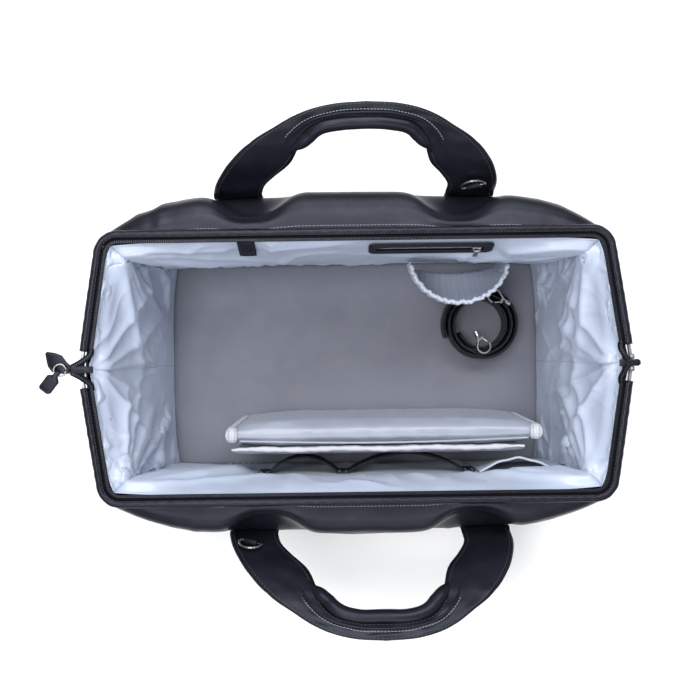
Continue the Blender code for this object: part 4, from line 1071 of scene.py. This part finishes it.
def strap_grid(name, columns):
    """Middle surface from the left sewn end over the grip to the right one."""
    steps = 120
    shares = [c / columns for c in range(columns + 1)]
    heights = [ANCHOR_LOW_Z + (ANCHOR_HIGH_Z - ANCHOR_LOW_Z) * k / 14 for k in range(15)]
    rows = [[anchor_point(name, -1.0, c, z) for c in shares] for z in heights]
    rows += [[handle_point(name, c, k / steps) for c in shares] for k in range(steps + 1)]
    rows += [[anchor_point(name, 1.0, c, z) for c in shares] for z in reversed(heights)]
    return np.array([[tuple(p) for p in row] for row in rows], float)


def strap_weight(co):
    """Weight that rises from 0 to 1 over the STRAP_TURN heights, above the straps' sewn ends."""
    return smooth((co[:, 2] - STRAP_TURN[0]) / (STRAP_TURN[1] - STRAP_TURN[0]))


def make_handles():
    """Each handle: a strap sewn on at both ends, with its roll and ridges."""
    columns = 14
    for index, (name, side) in enumerate(SIDES.items()):
        grid = strap_grid(name, columns)
        normal = facing(grid, 1, -side)
        c = np.linspace(0, 1, columns + 1)[None, :]
        puff = 0.30 + 0.70 * np.clip(np.sin(np.pi * np.clip(c, 0, 1)), 0, 1) ** 0.45
        run = distances(grid[:, 7])[:, None]
        uneven_face = 0.0005 * ripples(121 + index, run + 0 * c, c * 0.05 + 0 * run, 0.030)
        ends = 0.45 + 0.55 * smooth(run / 0.004) * smooth((run[-1] - run) / 0.004)
        top = lifted(grid, normal, (STRAP_T / 2 * puff + uneven_face * puff) * ends)
        bottom = lifted(grid, -normal, STRAP_T / 2 * puff * ends)
        made = two_faced(name + "_strap", top, bottom, LEATHER_STRAP)
        bend(made, name + "_handle", strap_weight, "leather", name + "_handle", name + "_anchor_left",
             name + "_anchor_right")
        lines = []
        for column in (1.15, columns - 1.15):
            a, t = int(column), column - int(column)
            for sheet, sign in ((top, 1), (bottom, -1)):
                lines.append((sheet[1:-1, a] * (1 - t) + sheet[1:-1, a + 1] * t, sign * normal[1:-1, a]))
        bend(stitches(name + "_strap_stitches", lines, THREAD_DARK, STRAP_THREAD), name + "_handle",
             strap_weight, "leather")
        make_roll(name)
        make_ridge(name)
        make_sewn_ends(name, side)


def grip_places(name, across, first, count):
    """Places along the grip with the direction of travel; first is how far from the hinge it starts."""
    for k in range(count + 1):
        along = first + (1 - 2 * first) * k / count
        ahead = handle_point(name, across, along + 0.01) - handle_point(name, across, along - 0.01)
        yield k, along, handle_point(name, across, along), ahead


def make_roll(name):
    """The padded roll under the grip's inner edge."""
    points = []
    for k, along, here, ahead in grip_places(name, 1.0, 0.235, 80):
        ahead = ahead.normalized()
        into = here - handle_point(name, 0.8, along)
        into = (into - ahead * into.dot(ahead)).normalized()
        lift = float(smooth(min(k, 80 - k) / 13))
        points.append(here + into * ((ROLL_R - 0.0004) * lift - 0.0045 * (1 - lift)))
    points = resample(points, 0.0020)
    length = sum((b - a).length for a, b in zip(points, points[1:]))

    def plump(run, angle):
        end = min(run, length - run)
        return -ROLL_R * 0.72 * (1 - float(smooth(end / 0.020))) + 0.0003 * math.sin(run * 130 + angle)
    roll = tube(name + "_grip_roll", points, ROLL_R, LEATHER_STRAP, 28, relief=plump)
    go(roll, name + "_handle", "leather", name + "_handle_roll")


def make_ridge(name):
    """A raised, stitched ridge where the roll's cover meets the flat flange, on both faces."""
    rows = []
    for label, face in (("lower", -1.0), ("upper", 1.0)):
        path, seam, outs = [], [], []
        for k, along, here, ahead in grip_places(name, RIDGE_ACROSS, 0.245, 60):
            toward = handle_point(name, 0.9, along) - here
            out = ahead.cross(toward).normalized() * face
            end = float(smooth(min(k, 60 - k) / 8))
            place = here + out * (STRAP_T / 2 + 0.0004 - 0.0016 * (1 - end))
            path.append(place)
            seam.append(place - toward.normalized() * 0.0030 - out * 0.0002)
            outs.append(out)
        ridge = tube(f"{name}_grip_ridge_{label}", resample(path, 0.002), 0.0012, LEATHER_STRAP, 10)
        go(ridge, name + "_handle", "leather")
        rows.append((seam, outs))
    sew(name + "_grip_stitches", rows, THREAD_PALE, GRIP_THREAD, name + "_handle", "leather")


def make_sewn_ends(name, side):
    """A sewn square with a cross on each strap end."""
    left, right, low, high = 0.14, 0.86, 0.080, 0.118
    square = [(left, low), (right, low), (right, high), (left, high), (left, low)]
    cross = [(right, high), (right, low), (left, high)]
    lines = []
    for hand in HANDS.values():
        path = [anchor_point(name, hand, c, z) + Vector((0, side * 0.0022, 0)) for c, z in square + cross]
        lines.append((resample(path, 0.004), (0, side, 0.05)))
    sew(name + "_box_stitches", lines, THREAD_DARK, STRAP_THREAD, BAG, "leather")


# ---------------------------------------------------------------- metal kept from the CAD
def show_metal():
    for name in ("inner_slider", "inner_puller", "outer_slider", "strap_hook_a", "strap_hook_b",
                 "strap_gate_a", "strap_gate_b"):
        show_node(name, BRIGHT)
    for name in ("d_ring_front", "d_ring_back", "main_ring"):
        show_node(name, NICKEL)
    show_node("main_slider", DARK_METAL)


# ---------------------------------------------------------------- ends of the main zipper
def tag_outline(half_w, length, corner):
    """A tag seen from above: a narrow neck at the origin widening to a rounded plate."""
    neck = [(-0.0034, 0.0024), (0.0012, 0.0024), (0.0045, half_w)]
    x, y = length - corner, half_w - corner
    plate = arc(x, -y, corner, -90, 6) + arc(x, y, corner, 0, 6)
    return at_height([(a, -b) for a, b in neck] + plate + neck[::-1], 0)


def make_zipper_end():
    """The leather end past each hinge; the closing one carries the slider and a wide sewn block."""
    right_low, right_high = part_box("zip_end_right")
    w = (right_high.y - right_low.y) / 2
    low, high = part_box("zip_end_left")
    left = [(low.x + 0.0470, -w), (low.x + 0.0470, w), (-0.2790, w), (-0.2840, 0.0082), (-0.2885, 0.0145),
            (-0.2950, 0.0172), (-0.3030, high.y), (low.x, 0.0166), (-0.3026, 0.0040), (-0.2980, -0.0022),
            (-0.2930, -w)]
    outline = resample(at_height(left, 0), 0.0012, True)
    tab = pillow("zip_tab_left", outline, low.z, high.z, 0.0006, LEATHER_TRIM)
    go(tab, BAG, "zipper", "zip_end_left")
    edge = [(-0.2800, 0.0016), (-0.2856, 0.0068), (-0.2902, 0.0130), (-0.2956, 0.0154), (-0.3018, 0.0164),
            (-0.3034, 0.0150), (-0.3010, 0.0050), (-0.2970, -0.0008), (-0.2925, -0.0018), (-0.2800, -0.0018)]
    row = resample(at_height(edge, high.z), 0.002)
    sew("zip_tab_stitches", [(row, UP)], THREAD_DARK, TAB_THREAD, BAG, "zipper")
    low, high = right_low, right_high
    right = [(low.x, -w), (high.x - 0.002, -w), (high.x, -0.0015), (high.x, 0.0015), (high.x - 0.002, w),
             (low.x, w)]
    outline = resample(at_height(right, 0), 0.0012, True)
    tab = pillow("zip_tab_right", outline, low.z, high.z, 0.0004, LEATHER_TRIM)
    go(tab, BAG, "zipper", "zip_end_right")


def make_zipper_legs():
    """The zipper halves leave the frame arms and run together towards the slider."""
    def follow(co):
        return smooth((np.abs(co[:, 1]) - 0.004) / 0.015)
    for name, side in SIDES.items():
        for hand_name, hand in HANDS.items():
            arm = [p for p in bow_path(side, ZIP_START_Y, TEETH_INSET) if p.x * hand > 0]
            start = arm[0] if hand < 0 else arm[-1]
            end_x = -0.2795 if hand < 0 else 0.2660
            bends = [Vector((start.x, start.y, start.z + 0.0008)),
                     Vector((start.x - 0.0006, side * 0.0145, start.z + 0.0024)),
                     Vector(((start.x + end_x) / 2, side * 0.0075, start.z + 0.0046)),
                     Vector((end_x, side * 0.0024, start.z + 0.0052))]
            path = resample([Vector(spline([tuple(p) for p in bends], k / 24)) for k in range(25)], 0.0016)
            tape = zip_tape(f"{name}_tape_end_{hand_name}", path, 0.0058)
            chain = [p + Vector((0, 0, 0.0010)) for p in path]
            row = teeth(f"{name}_teeth_end_{hand_name}", chain, (0.0013, 0.0026, 0.0014))
            for made in (tape, row):
                bend(made, name + "_frame", follow, "zipper")


def make_main_puller():
    """Two stitched leather plates over a thin core, hanging from the ring."""
    low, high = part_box("main_puller")
    heading = math.radians(52)
    along = Vector((-math.cos(heading), -math.sin(heading), 0))
    turn = Matrix((along, Vector((-along.y, along.x, 0)), UP)).transposed().to_4x4()
    place = Matrix.Translation(Vector(joints["main_puller_swing"]["pos_m"])) @ turn
    half_t = (high.z - low.z) / 2
    outline = resample(tag_outline(0.0064, 0.0200, 0.0030), 0.0010, True)
    core = [p for p in resample(tag_outline(0.0058, 0.0194, 0.0028), 0.0010, True) if p.x > 0.0036]
    for part, shape, z_low, z_high, edge in (("tag_upper", outline, 0.0014, half_t, 0.0005),
                                             ("tag_lower", outline, -half_t, -0.0014, 0.0005),
                                             ("core", core, -0.0013, 0.0013, 0.0002)):
        made = pillow("puller_" + part, shape, z_low, z_high, edge, LEATHER_TRIM)
        made.data.transform(place)
        go(made, "main_puller", "leather", *(["main_puller"] if shape is outline else []))
    line = [place @ (p + Vector((0, 0, half_t))) for p in tag_outline(0.0049, 0.0186, 0.0022) if p.x > 0.0040]
    rows = [(resample(line, 0.002), UP)]
    sew("puller_stitches", rows, THREAD_DARK, PULLER_THREAD, "main_puller", "leather")


# ---------------------------------------------------------------- loops for the D-rings
def make_ring_loops():
    """A short leather band folded round the ring's bar and sewn to the strap."""
    radius, tail_length, w, t = 0.0026, 0.0150, 0.0070, 0.0005
    section = [(-t * 0.5, -w), (t * 0.5, -w), (t, -w * 0.9), (t, w * 0.9), (t * 0.5, w), (-t * 0.5, w),
               (-t, w * 0.9), (-t, -w * 0.9)]
    for name in SIDES:
        pivot = Vector(joints[name + "_d_ring_swing"]["pos_m"])
        bar = Vector(joints[name + "_d_ring_swing"]["axis"]).normalized()
        low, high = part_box("ring_loop_" + name)
        tail = (low + high) / 2 - pivot
        tail = (tail - bar * tail.dot(bar)).normalized()
        away = Vector((0, pivot.y - SIDES[name] * strap_y(name, pivot.z), 0)).normalized()
        away = away - bar * away.dot(bar)
        away = (away - tail * away.dot(tail)).normalized()
        path = [pivot + tail * tail_length - away * (radius + 0.0004), pivot + tail * 0.004 - away * radius]
        for k in range(13):
            angle = math.radians(-90 + 180 * k / 12)
            path.append(pivot - tail * radius * math.cos(angle) + away * radius * math.sin(angle))
        for back, out in ((0.004, 0.5), (0.0085, -0.55), (tail_length, -0.75)):
            path.append(pivot + tail * back + away * (radius * out))
        band = sweep("ring_loop_leather_" + name, resample(path, 0.0012), section, LEATHER_TRIM, bar)
        go(band, name + "_handle", "leather", "ring_loop_" + name)
        middle = pivot + tail * 0.0100 - away * (radius * 0.45 - 0.0002)
        rows = [([middle + bar * (0.0055 * (2 * k / 10 - 1)) for k in range(11)], away)]
        sew("ring_loop_stitches_" + name, rows, THREAD_DARK, LOOP_THREAD, name + "_handle", "leather")


# ---------------------------------------------------------------- pockets
def make_zip_pocket():
    """Leather welt, dark tape and fine silver teeth of the pocket in the back lining."""
    def y_at(z):
        return lining_y(sum(WELT_X) / 2, z)

    def outline(x_range, half_h, corner):
        middle = sum(x_range) / 2
        shape = rounded_box((x_range[1] - x_range[0]) / 2, half_h, corner, 8)
        return resample([Vector((middle + x, 0, z)) for x, z in shape], 0.0004, True)
    slope = math.atan2(y_at(WELT_Z + 0.010) - y_at(WELT_Z - 0.010), 0.020)
    place = Matrix.Translation((0, y_at(WELT_Z) - 0.0006, WELT_Z)) @ Matrix.Rotation(-slope, 4, "X")
    count = 180
    outer, inner = outline(WELT_X, WELT_HALF_H, 0.0055), outline(SLOT_X, SLOT_HALF_H, 0.0020)
    pairs = [(outer[int(k * len(outer) / count)], inner[int(k * len(inner) / count)]) for k in range(count)]
    back, front = WELT_FRONT + WELT_T, WELT_FRONT
    section = [(0.0, back), (0.0, front + 0.0007), (0.06, front + 0.0002), (0.35, front - 0.0002),
               (0.65, front - 0.0002), (0.94, front + 0.0002), (1.0, front + 0.0006), (1.0, back)]
    rings = [[place @ (o.lerp(i, t) + Vector((0, y, 0))) for t, y in section] for o, i in pairs]
    go(loft("welt_leather", rings, LEATHER_TRIM, closed=True), "back_frame", "leather", "inner_pocket_welt")
    for label, spread in (("outer", 0.16), ("inner", 0.80)):
        row = [place @ (o.lerp(i, spread) + Vector((0, front - 0.0001, 0))) for o, i in pairs + pairs[:1]]
        rows = [(row, (0, -1, -0.3))]
        sew("welt_stitches_" + label, rows, THREAD_DARK, WELT_THREAD, "back_frame", "leather")
    tape_y, length = back + 0.0003, SLOT_X[1] - SLOT_X[0]
    grid = place_grid(lambda u, v: place @ Vector((SLOT_X[0] - 0.004 + (length + 0.008) * u, tape_y,
                                                   (2 * v - 1) * (SLOT_HALF_H + 0.0026))), 60, 4)
    go(cloth("welt_tape", grid, TAPE, 0.0007, -1.0), "back_frame", "zipper", "inner_pocket_zip")
    axes = (Vector((1, 0, 0)), place.to_3x3() @ UP, place.to_3x3() @ Vector((0, -1, 0)))
    places = []
    for row, lift in ((0, 0.00085), (1, -0.00085)):
        for k in range(72):
            x = SLOT_X[0] + 0.001 + (length - 0.002) * (k + 0.5 * row) / 72
            places.append((place @ Vector((x, tape_y - 0.00015, lift)), *axes))
    go(boxes("welt_teeth", places, (0.0010, 0.0019, 0.0004), SILVER_TEETH), "back_frame", "zipper")


def make_key_tab():
    """A short folded tab under the back rim."""
    low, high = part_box("key_tab")
    grid = []
    for j in range(17):
        z = high.z + 0.0030 - (high.z - low.z + 0.0026) * j / 16
        y = lining_y((low.x + high.x) / 2, z) - 0.0014 - 0.0030 * (j / 16) ** 2
        grid.append([(low.x + (high.x - low.x) * (0.02 + 0.96 * i / 8), y, z) for i in range(9)])
    made, top, bottom, _ = strip("key_tab_leather", np.array(grid), 0.0020, LEATHER_TRIM, 0.0001, 3)
    go(made, "back_frame", "leather", "key_tab")
    inner = top if top[8, 4, 1] < bottom[8, 4, 1] else bottom
    lines = [(seam, (0, -1, -0.2)) for seam in (inner[1:-1, 1], inner[1:-1, -2], inner[12, 1:-1])]
    sew("key_tab_stitches", lines, THREAD_DARK, KEY_TAB_THREAD, "back_frame", "leather")


def elastic_point(u, v, out=0.0):
    """The rounded face of the elastic pocket, moved outwards by out."""
    middle, half = sum(ELASTIC_X) / 2, (ELASTIC_X[1] - ELASTIC_X[0]) / 2
    angle = math.pi * (0.03 + 0.94 * u)
    z = ELASTIC_Z[0] + (ELASTIC_Z[1] - ELASTIC_Z[0]) * v
    deep = math.sin(math.pi / 2 * (0.12 + 0.88 * v)) ** 0.8
    x = middle - (half + out) * math.cos(angle)
    return (x, lining_y(x, z) - 0.0012 - (ELASTIC_REACH * deep + out) * math.sin(angle), z)


def gathers(u):
    """Small uneven ruffles round the elastic, between -1 and 1."""
    return (0.55 * math.sin(u * 92 + 1.4 * math.sin(u * 17)) + 0.30 * math.sin(u * 151 + 2.0)
            + 0.15 * math.sin(u * 223))


def make_elastic_pocket():
    """The gathered pocket and its elastic rim."""
    def wall(u, v):
        hold = min(1.0, u / 0.03, (1 - u) / 0.03)
        ruffle = 0.0017 * gathers(u) * (0.25 + 0.75 * v) * hold
        return elastic_point(u, v, 0.0045 * math.sin(math.pi * v) * math.sin(math.pi * u) + ruffle)

    def pucker(run, angle):
        return 0.00035 * math.sin(run * 1500 + 2 * math.sin(run * 240)) + 0.0002 * math.sin(run * 700 + angle)
    go(cloth("elastic_pocket_cloth", place_grid(wall, 280, 36), NYLON_RIM, LINING_T, 1), BAG, "nylon_lining",
       "elastic_pocket")
    path = []
    for k in range(261):
        u = 0.028 + 0.944 * k / 260
        x, y, z = elastic_point(u, 1.0, 0.0004 + 0.0011 * gathers(u))
        path.append(Vector((x, y, z + 0.0026 + 0.0005 * math.sin(u * 61))))
    rim = tube("elastic_rim_cloth", resample(path, 0.0007), 0.0022, NYLON_RIM, 14, relief=pucker)
    go(rim, BAG, "nylon_lining", "elastic_rim")


def band_reach(x):
    """How far the bottle band stands off the wall."""
    for k, reach in enumerate(BAND_REACH):
        low, high = BAND_X[k] + BAND_FLAT, BAND_X[k + 1] - BAND_FLAT
        if low < x < high:
            return reach * math.sin(math.pi * (x - low) / (high - low)) ** 0.85
    return 0.0


def make_bottle_band():
    """The leather band that stands off the wall in two bottle loops."""
    steps = 160
    x_low, x_high = BAND_X[0] - BAND_FLAT, BAND_X[-1] + BAND_FLAT

    def face(v, u):
        x, z = x_low + (x_high - x_low) * u, BAND_Z[0] + (BAND_Z[1] - BAND_Z[0]) * v
        sag = 0.0012 * math.sin(math.pi * v) * min(1.0, band_reach(x) / 0.01)
        return (x, -(lining_y(x, z) - 0.0014 - band_reach(x) - sag), z)
    made, top, bottom, _ = strip("bottle_band_leather", place_grid(face, 12, steps), 0.0016, LEATHER_TRIM,
                                 0.0001, 5, 0.55)
    go(made, BAG, "leather", "bottle_band")
    front = top if top[80, 6, 1] > bottom[80, 6, 1] else bottom
    lines = [(front[2:-2, i], (0, 1, 0.1)) for i in (1, -2)]
    sew("bottle_band_stitches", lines, THREAD_DARK, BAND_THREAD, BAG, "leather")
    tacks = []
    for x in BAND_X:
        for step in (-0.0035, 0.0035):
            j = int(round((x + step - x_low) / (x_high - x_low) * steps))
            tacks.append((front[j, 8:] + (0, 0.0002, 0), (0, 1, 0.3)))
    sew("bottle_band_tacks", tacks, THREAD_PALE, TACK_THREAD, BAG, "leather")


def make_slip_pocket():
    """A flat cloth pocket beside the bottle loops, with a folded hem."""
    def face(u, v):
        x, z = SLIP_X[0] + (SLIP_X[1] - SLIP_X[0]) * u, SLIP_Z[0] + (SLIP_Z[1] - SLIP_Z[0]) * v
        out = 0.0010 + SLIP_REACH * math.sin(math.pi * u) * v
        out += 0.0007 * math.sin(u * 21 + 3 * v) * v * math.sin(math.pi * u)
        return (x, -(lining_y(x, z) - out), z)
    go(cloth("slip_pocket_cloth", place_grid(face, 60, 40), NYLON, LINING_T, -1), BAG, "nylon_lining",
       "slip_pocket")
    hem = [Vector(face(k / 60, 1.0)) + Vector((0, 0.0006, 0)) for k in range(61)]
    go(tube("slip_pocket_hem", resample(hem, 0.0016), 0.0013, NYLON_RIM, 10), BAG, "nylon_lining")
    row = [Vector(face(k / 60, 0.93)) + Vector((0, 0.0009, 0)) for k in range(1, 60)]
    sew("slip_pocket_stitches", [(row, (0, 1, 0.2))], THREAD_LINING, SLIP_THREAD, BAG, "nylon_lining")


# ---------------------------------------------------------------- things kept inside
def swelled(made, pressure, most):
    """Blow a closed mesh up like filled cloth, moving no point further than most."""
    remesh = made.modifiers.new("even", "REMESH")
    remesh.mode = "VOXEL"
    remesh.voxel_size = 0.0045
    bpy.context.view_layer.objects.active = made
    with bpy.context.temp_override(object=made, active_object=made):
        bpy.ops.object.modifier_apply(modifier=remesh.name)
    rest = places_of(made)
    moved = settle(made, 20, 0.0, 5, mass=0.25, tension_stiffness=12, compression_stiffness=4,
                   bending_stiffness=0.05, use_pressure=True, uniform_pressure_force=pressure)
    shift = moved - rest
    shift *= np.minimum(1.0, most / np.maximum(np.linalg.norm(shift, axis=1, keepdims=True), 1e-9))
    made.data.vertices.foreach_set("co", (rest + shift).astype(np.float32).ravel())
    shade_smooth(made.data)
    made.data.update()


def crease_mesh(made, seed, depth):
    """Shallow creases pressed into a padded piece along its normals."""
    co = places_of(made)
    normal = np.array([v.normal for v in made.data.vertices], float)
    s, t = co[:, 0] + 0.2, co[:, 2]
    relief = folds(seed, s, t, (0.4, 0.15), count=40, width=0.0030, depth=1.0, heading=80, spread=0.6,
                   length=0.020)
    relief += 0.5 * ripples(seed + 5, s, t, 0.030)
    co += normal * (np.clip(relief, -1.5, 1.0) * -depth)[:, None]
    made.data.vertices.foreach_set("co", co.astype(np.float32).ravel())
    made.data.update()


def mat_block(name, x_range, half_t, height, bow, end_t):
    """A soft upright fold: full in its middle, thinner at its two bound ends."""
    steps, sides = 72, 32
    rings = []
    for k in range(steps + 1):
        x = x_range[0] + (x_range[1] - x_range[0]) * k / steps
        thick = end_t + (half_t - end_t) * float(smooth(min(k, steps - k) / steps / 0.20)) ** 0.8
        ring = []
        for i in range(sides):
            angle = 2 * math.pi * i / sides
            y = soft_power(math.cos(angle), 0.55) * thick + bow * math.sin(math.pi * k / steps)
            ring.append(Vector((x, y, height / 2 * (1 + soft_power(math.sin(angle), 0.40)))))
        rings.append(ring)
    return loft(name, rings, MAT_CLOTH)


def mat_end(name, place, x, edge, half_t, height):
    """The bound end of a layer: a flat tape folded round it, with its stitches."""
    rings = []
    for j in range(61):
        z = 0.0020 + (height - 0.0014) * j / 60
        thick = half_t * min(1.0, math.sqrt(max(0.0, (height + 0.0010 - z) / 0.006)) + 0.2)
        ring = []
        for i in range(18):
            angle = 2 * math.pi * i / 18
            out = 0.0060 * (1 + soft_power(math.cos(angle), 0.6))
            ring.append(place @ Vector((x + edge * (out + 0.00025 * math.sin(j * 0.8)),
                                        soft_power(math.sin(angle), 0.6) * thick, z)))
        rings.append(ring)
    go(loft(name, rings, MAT_EDGE), BAG, "mat_cover")
    rows = []
    for face in (-1.0, 1.0):
        at_x, y = x + edge * 0.0098, face * (half_t + 0.0001)
        row = [place @ Vector((at_x, y, 0.006 + (height - 0.012) * k / 30)) for k in range(31)]
        rows.append((row, (0, face, 0)))
    for step in (0.0030, 0.0095):
        at_x, z = x + edge * step, height + 0.0007
        row = [place @ Vector((at_x, half_t * (0.8 - 1.6 * k / 6), z)) for k in range(7)]
        rows.append((row, UP))
    sew(name + "_stitches", rows, THREAD_LINING, LOOP_THREAD, BAG, "mat_cover")


def make_mat():
    """The folded changing mat: a silver outer fold, and the white-edged layer behind it."""
    cover_low, cover_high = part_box("changing_mat_cover")
    pad_low, pad_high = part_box("changing_mat_pad")
    cover_place, pad_place = (Matrix.Translation((0, y, MAT_STAND_Z)) @ Matrix.Rotation(MAT_LEAN, 4, "X")
                              for y in (MAT_COVER_Y, MAT_PAD_Y))
    end_t = MAT_COVER_T / 2 * 0.62
    cover = mat_block("mat_outer_fold", (cover_low.x + 0.0030, cover_high.x - 0.0030),
                      MAT_COVER_T / 2 - 0.0020, MAT_COVER_H - 0.0010, 0.0010, end_t - 0.001)
    swelled(cover, 3.0, 0.0040)
    crease_mesh(cover, 131, 0.0009)
    cover.data.transform(cover_place)
    go(cover, BAG, "mat_cover", "changing_mat_cover")
    for label, x, edge in (("left", cover_low.x, 1.0), ("right", cover_high.x, -1.0)):
        mat_end("mat_binding_" + label, cover_place, x, edge, end_t, MAT_COVER_H)
    pad = mat_block("mat_inner_fold", (pad_low.x + 0.0015, pad_high.x - 0.0015), MAT_PAD_T / 2 - 0.0014,
                    MAT_PAD_H - 0.0010, -0.0004, MAT_PAD_T / 2 - 0.0024)
    swelled(pad, 2.0, 0.0016)
    crease_mesh(pad, 132, 0.0004)
    pad.data.transform(pad_place)
    go(pad, BAG, "mat_pad", "changing_mat_pad")
    length = pad_high.x - pad_low.x - 0.006

    def puff(run, angle):
        taper = 0.0016 * (1 - float(smooth(min(run, length - run) / 0.030)))
        return 0.00035 * math.sin(run * 210) + 0.0002 * math.sin(run * 520 + angle) - taper
    shares = [k / 120 for k in range(121)]
    edge = [pad_place @ Vector((pad_low.x + 0.003 + length * t, 0.0022 + 0.0005 * math.sin(t * 21),
                                MAT_PAD_H + 0.0004)) for t in shares]
    go(tube("mat_white_binding", resample(edge, 0.002), 0.0027, MAT_WHITE, 14, relief=puff), BAG, "mat_pad")
    ridge = [cover_place @ Vector((cover_low.x + 0.014 + (cover_high.x - cover_low.x - 0.028) * t,
                                   -MAT_COVER_T / 2 * (0.55 + 0.25 * math.sin(math.pi * t)) + 0.001,
                                   MAT_COVER_H - 0.0030 + 0.0004 * math.sin(t * 90))) for t in shares]
    go(tube("mat_cover_seam", resample(ridge, 0.002), 0.0011, MAT_CLOTH, 8), BAG, "mat_cover")


def make_coil():
    """The shoulder strap, rolled up and standing on its edge."""
    def face(across, t):
        angle = 2 * math.pi * COIL_TURNS * t + math.radians(200)
        radius = COIL_R[0] + (COIL_R[1] - COIL_R[0]) * t + 0.0004 * math.sin(angle * 0.7)
        return (COIL_CENTRE[0] + radius * math.cos(angle), COIL_CENTRE[1] + radius * math.sin(angle),
                COIL_Z[0] + (COIL_Z[1] - COIL_Z[0]) * across)
    made, top, bottom, normal = strip("strap_coil_leather", place_grid(face, 10, 240), 0.0029, LEATHER_TRIM,
                                      0.00008, 7, 0.55)
    go(made, BAG, "leather", "strap_coil")
    lines = [(sheet[1:-1, i], sign * normal[1:-1, i])
             for sheet, sign in ((top, 1), (bottom, -1)) for i in (1, -2)]
    sew("strap_coil_stitches", lines, THREAD_DARK, COIL_THREAD, BAG, "leather")


# ---------------------------------------------------------------- outer pockets
def make_outer_zip():
    """The outer front pocket: two leather lips over a zipper."""
    half_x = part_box("outer_front_zip")[1].x
    out = Vector((0, -1, 0))

    def face(x, z, reach):
        return (x, -(panel_y("front", x, z) + 0.0008 + reach), z)
    for label, sign in (("upper", 1), ("lower", -1)):
        z_low, z_high = sorted((OUTER_ZIP_Z + sign * 0.0026, OUTER_ZIP_Z + sign * OUTER_ZIP_HALF_H))
        grid = place_grid(lambda v, u: face((2 * u - 1) * half_x, z_low + (z_high - z_low) * v, 0.0012),
                          6, 60)
        made = strip("outer_zip_welt_" + label, grid, 0.0016, LEATHER_TRIM, 0.0001, 9)[0]
        go(made, BAG, "leather", "outer_front_zip")
        z_line = OUTER_ZIP_Z + sign * (OUTER_ZIP_HALF_H - 0.0010)
        row = [face((2 * k / 60 - 1) * (half_x - 0.002), z_line, 0.0019) for k in range(61)]
        sew("outer_zip_stitches_" + label, [(row, out)], THREAD_DARK, OUTER_ZIP_THREAD, BAG, "leather")
    grid = place_grid(lambda v, u: face((2 * u - 1) * half_x, OUTER_ZIP_Z + 0.0034 * (2 * v - 1), 0.0006),
                      4, 60)
    go(cloth("outer_zip_tape", grid, TAPE, 0.0005, 1), BAG, "zipper")
    places = []
    for row, lift in ((0, -0.0009), (1, 0.0009)):
        for k in range(90):
            x = (2 * (k + 0.5 * row) / 90 - 1) * (half_x - 0.003)
            places.append((Vector(face(x, OUTER_ZIP_Z + lift, 0.0012)), Vector((1, 0, 0)), UP, out))
    go(boxes("outer_zip_teeth", places, (0.0010, 0.0020, 0.0006), SILVER_TEETH), BAG, "zipper")


def make_outer_pocket():
    """The open pocket on the back panel."""
    def face(u, v):
        x = (2 * u - 1) * OUTER_POCKET_HALF_X
        z = OUTER_POCKET_Z[0] + (OUTER_POCKET_Z[1] - OUTER_POCKET_Z[0]) * v
        out = 0.0014 + 0.0020 * v * (1 - abs(2 * u - 1) ** 4) + 0.0004 * math.sin(x * 70 + z * 50)
        return (x, panel_y("back", x, z) + out, z)
    go(cloth("outer_pocket_leather", place_grid(face, 80, 44), LEATHER, 0.0016, -1), BAG, "leather",
       "outer_back_pocket")
    hem = [Vector(face(k / 80, 1.0)) + Vector((0, 0.0008, 0)) for k in range(81)]
    go(tube("outer_pocket_binding", resample(hem, 0.002), 0.0014, LEATHER_TRIM, 10), BAG, "leather")
    edge = [(0.02, 0.985), (0.02, 0.02), (0.98, 0.02), (0.98, 0.985)]
    around = [(a + (c - a) * k / 24, b + (d - b) * k / 24) for (a, b), (c, d) in zip(edge, edge[1:])
              for k in range(25)]
    top = [(0.02 + 0.96 * k / 60, 0.93) for k in range(61)]
    rows = [([Vector(face(u, v)) + Vector((0, 0.0018, 0)) for u, v in line], (0, 1, 0))
            for line in (around, top)]
    sew("outer_pocket_stitches", rows, THREAD_DARK, OUTER_POCKET_THREAD, BAG, "leather")


# ---------------------------------------------------------------- stage and camera
def make_stage():
    """White paper, a pale sky and three soft lights."""
    world = bpy.data.worlds.new("studio")
    bpy.context.scene.world = world
    world.use_nodes = True
    sky = world.node_tree.nodes["Background"]
    sky.inputs["Color"].default_value = SKY_COLOR
    sky.inputs["Strength"].default_value = SKY_STRENGTH
    r = PAPER_REACH
    corners = at_height([(-r, -r), (r, -r), (r, r), (-r, r)], PAPER_Z)
    floor = new_object("floor", corners, [(0, 1, 2, 3)], paper("paper"), flat=True)
    for name, spot, size, power, shine in LIGHTS:
        data = bpy.data.lights.new(name, "AREA")
        data.shape = "RECTANGLE"
        data.size, data.size_y = size
        data.energy = power
        data.specular_factor = shine
        lamp = bpy.data.objects.new(name, data)
        lamp.location = spot
        lamp.rotation_euler = (LIGHTS_AIM - Vector(spot)).to_track_quat("-Z", "Y").to_euler()
        bpy.context.scene.collection.objects.link(lamp)
    bpy.context.scene.view_settings.view_transform = "Standard"


def make_camera():
    data = bpy.data.cameras.new("camera")
    data.sensor_width = SENSOR_MM
    data.lens = LENS_MM
    camera = bpy.data.objects.new("camera", data)
    camera.location = CAMERA_SPOT
    camera.rotation_euler = (0.0, 0.0, CAMERA_TWIST)
    bpy.context.scene.collection.objects.link(camera)
    bpy.context.scene.camera = camera


make_camera()
make_stage()
for make in (make_panels, make_gussets, make_corner_piping, make_base, make_lining_walls, make_lining_sides,
             make_lining_floor, make_frame, make_handles, show_metal, make_zipper_end, make_zipper_legs,
             make_main_puller, make_ring_loops, make_zip_pocket, make_key_tab, make_elastic_pocket,
             make_bottle_band, make_slip_pocket, make_mat, make_coil, make_outer_zip, make_outer_pocket):
    make()
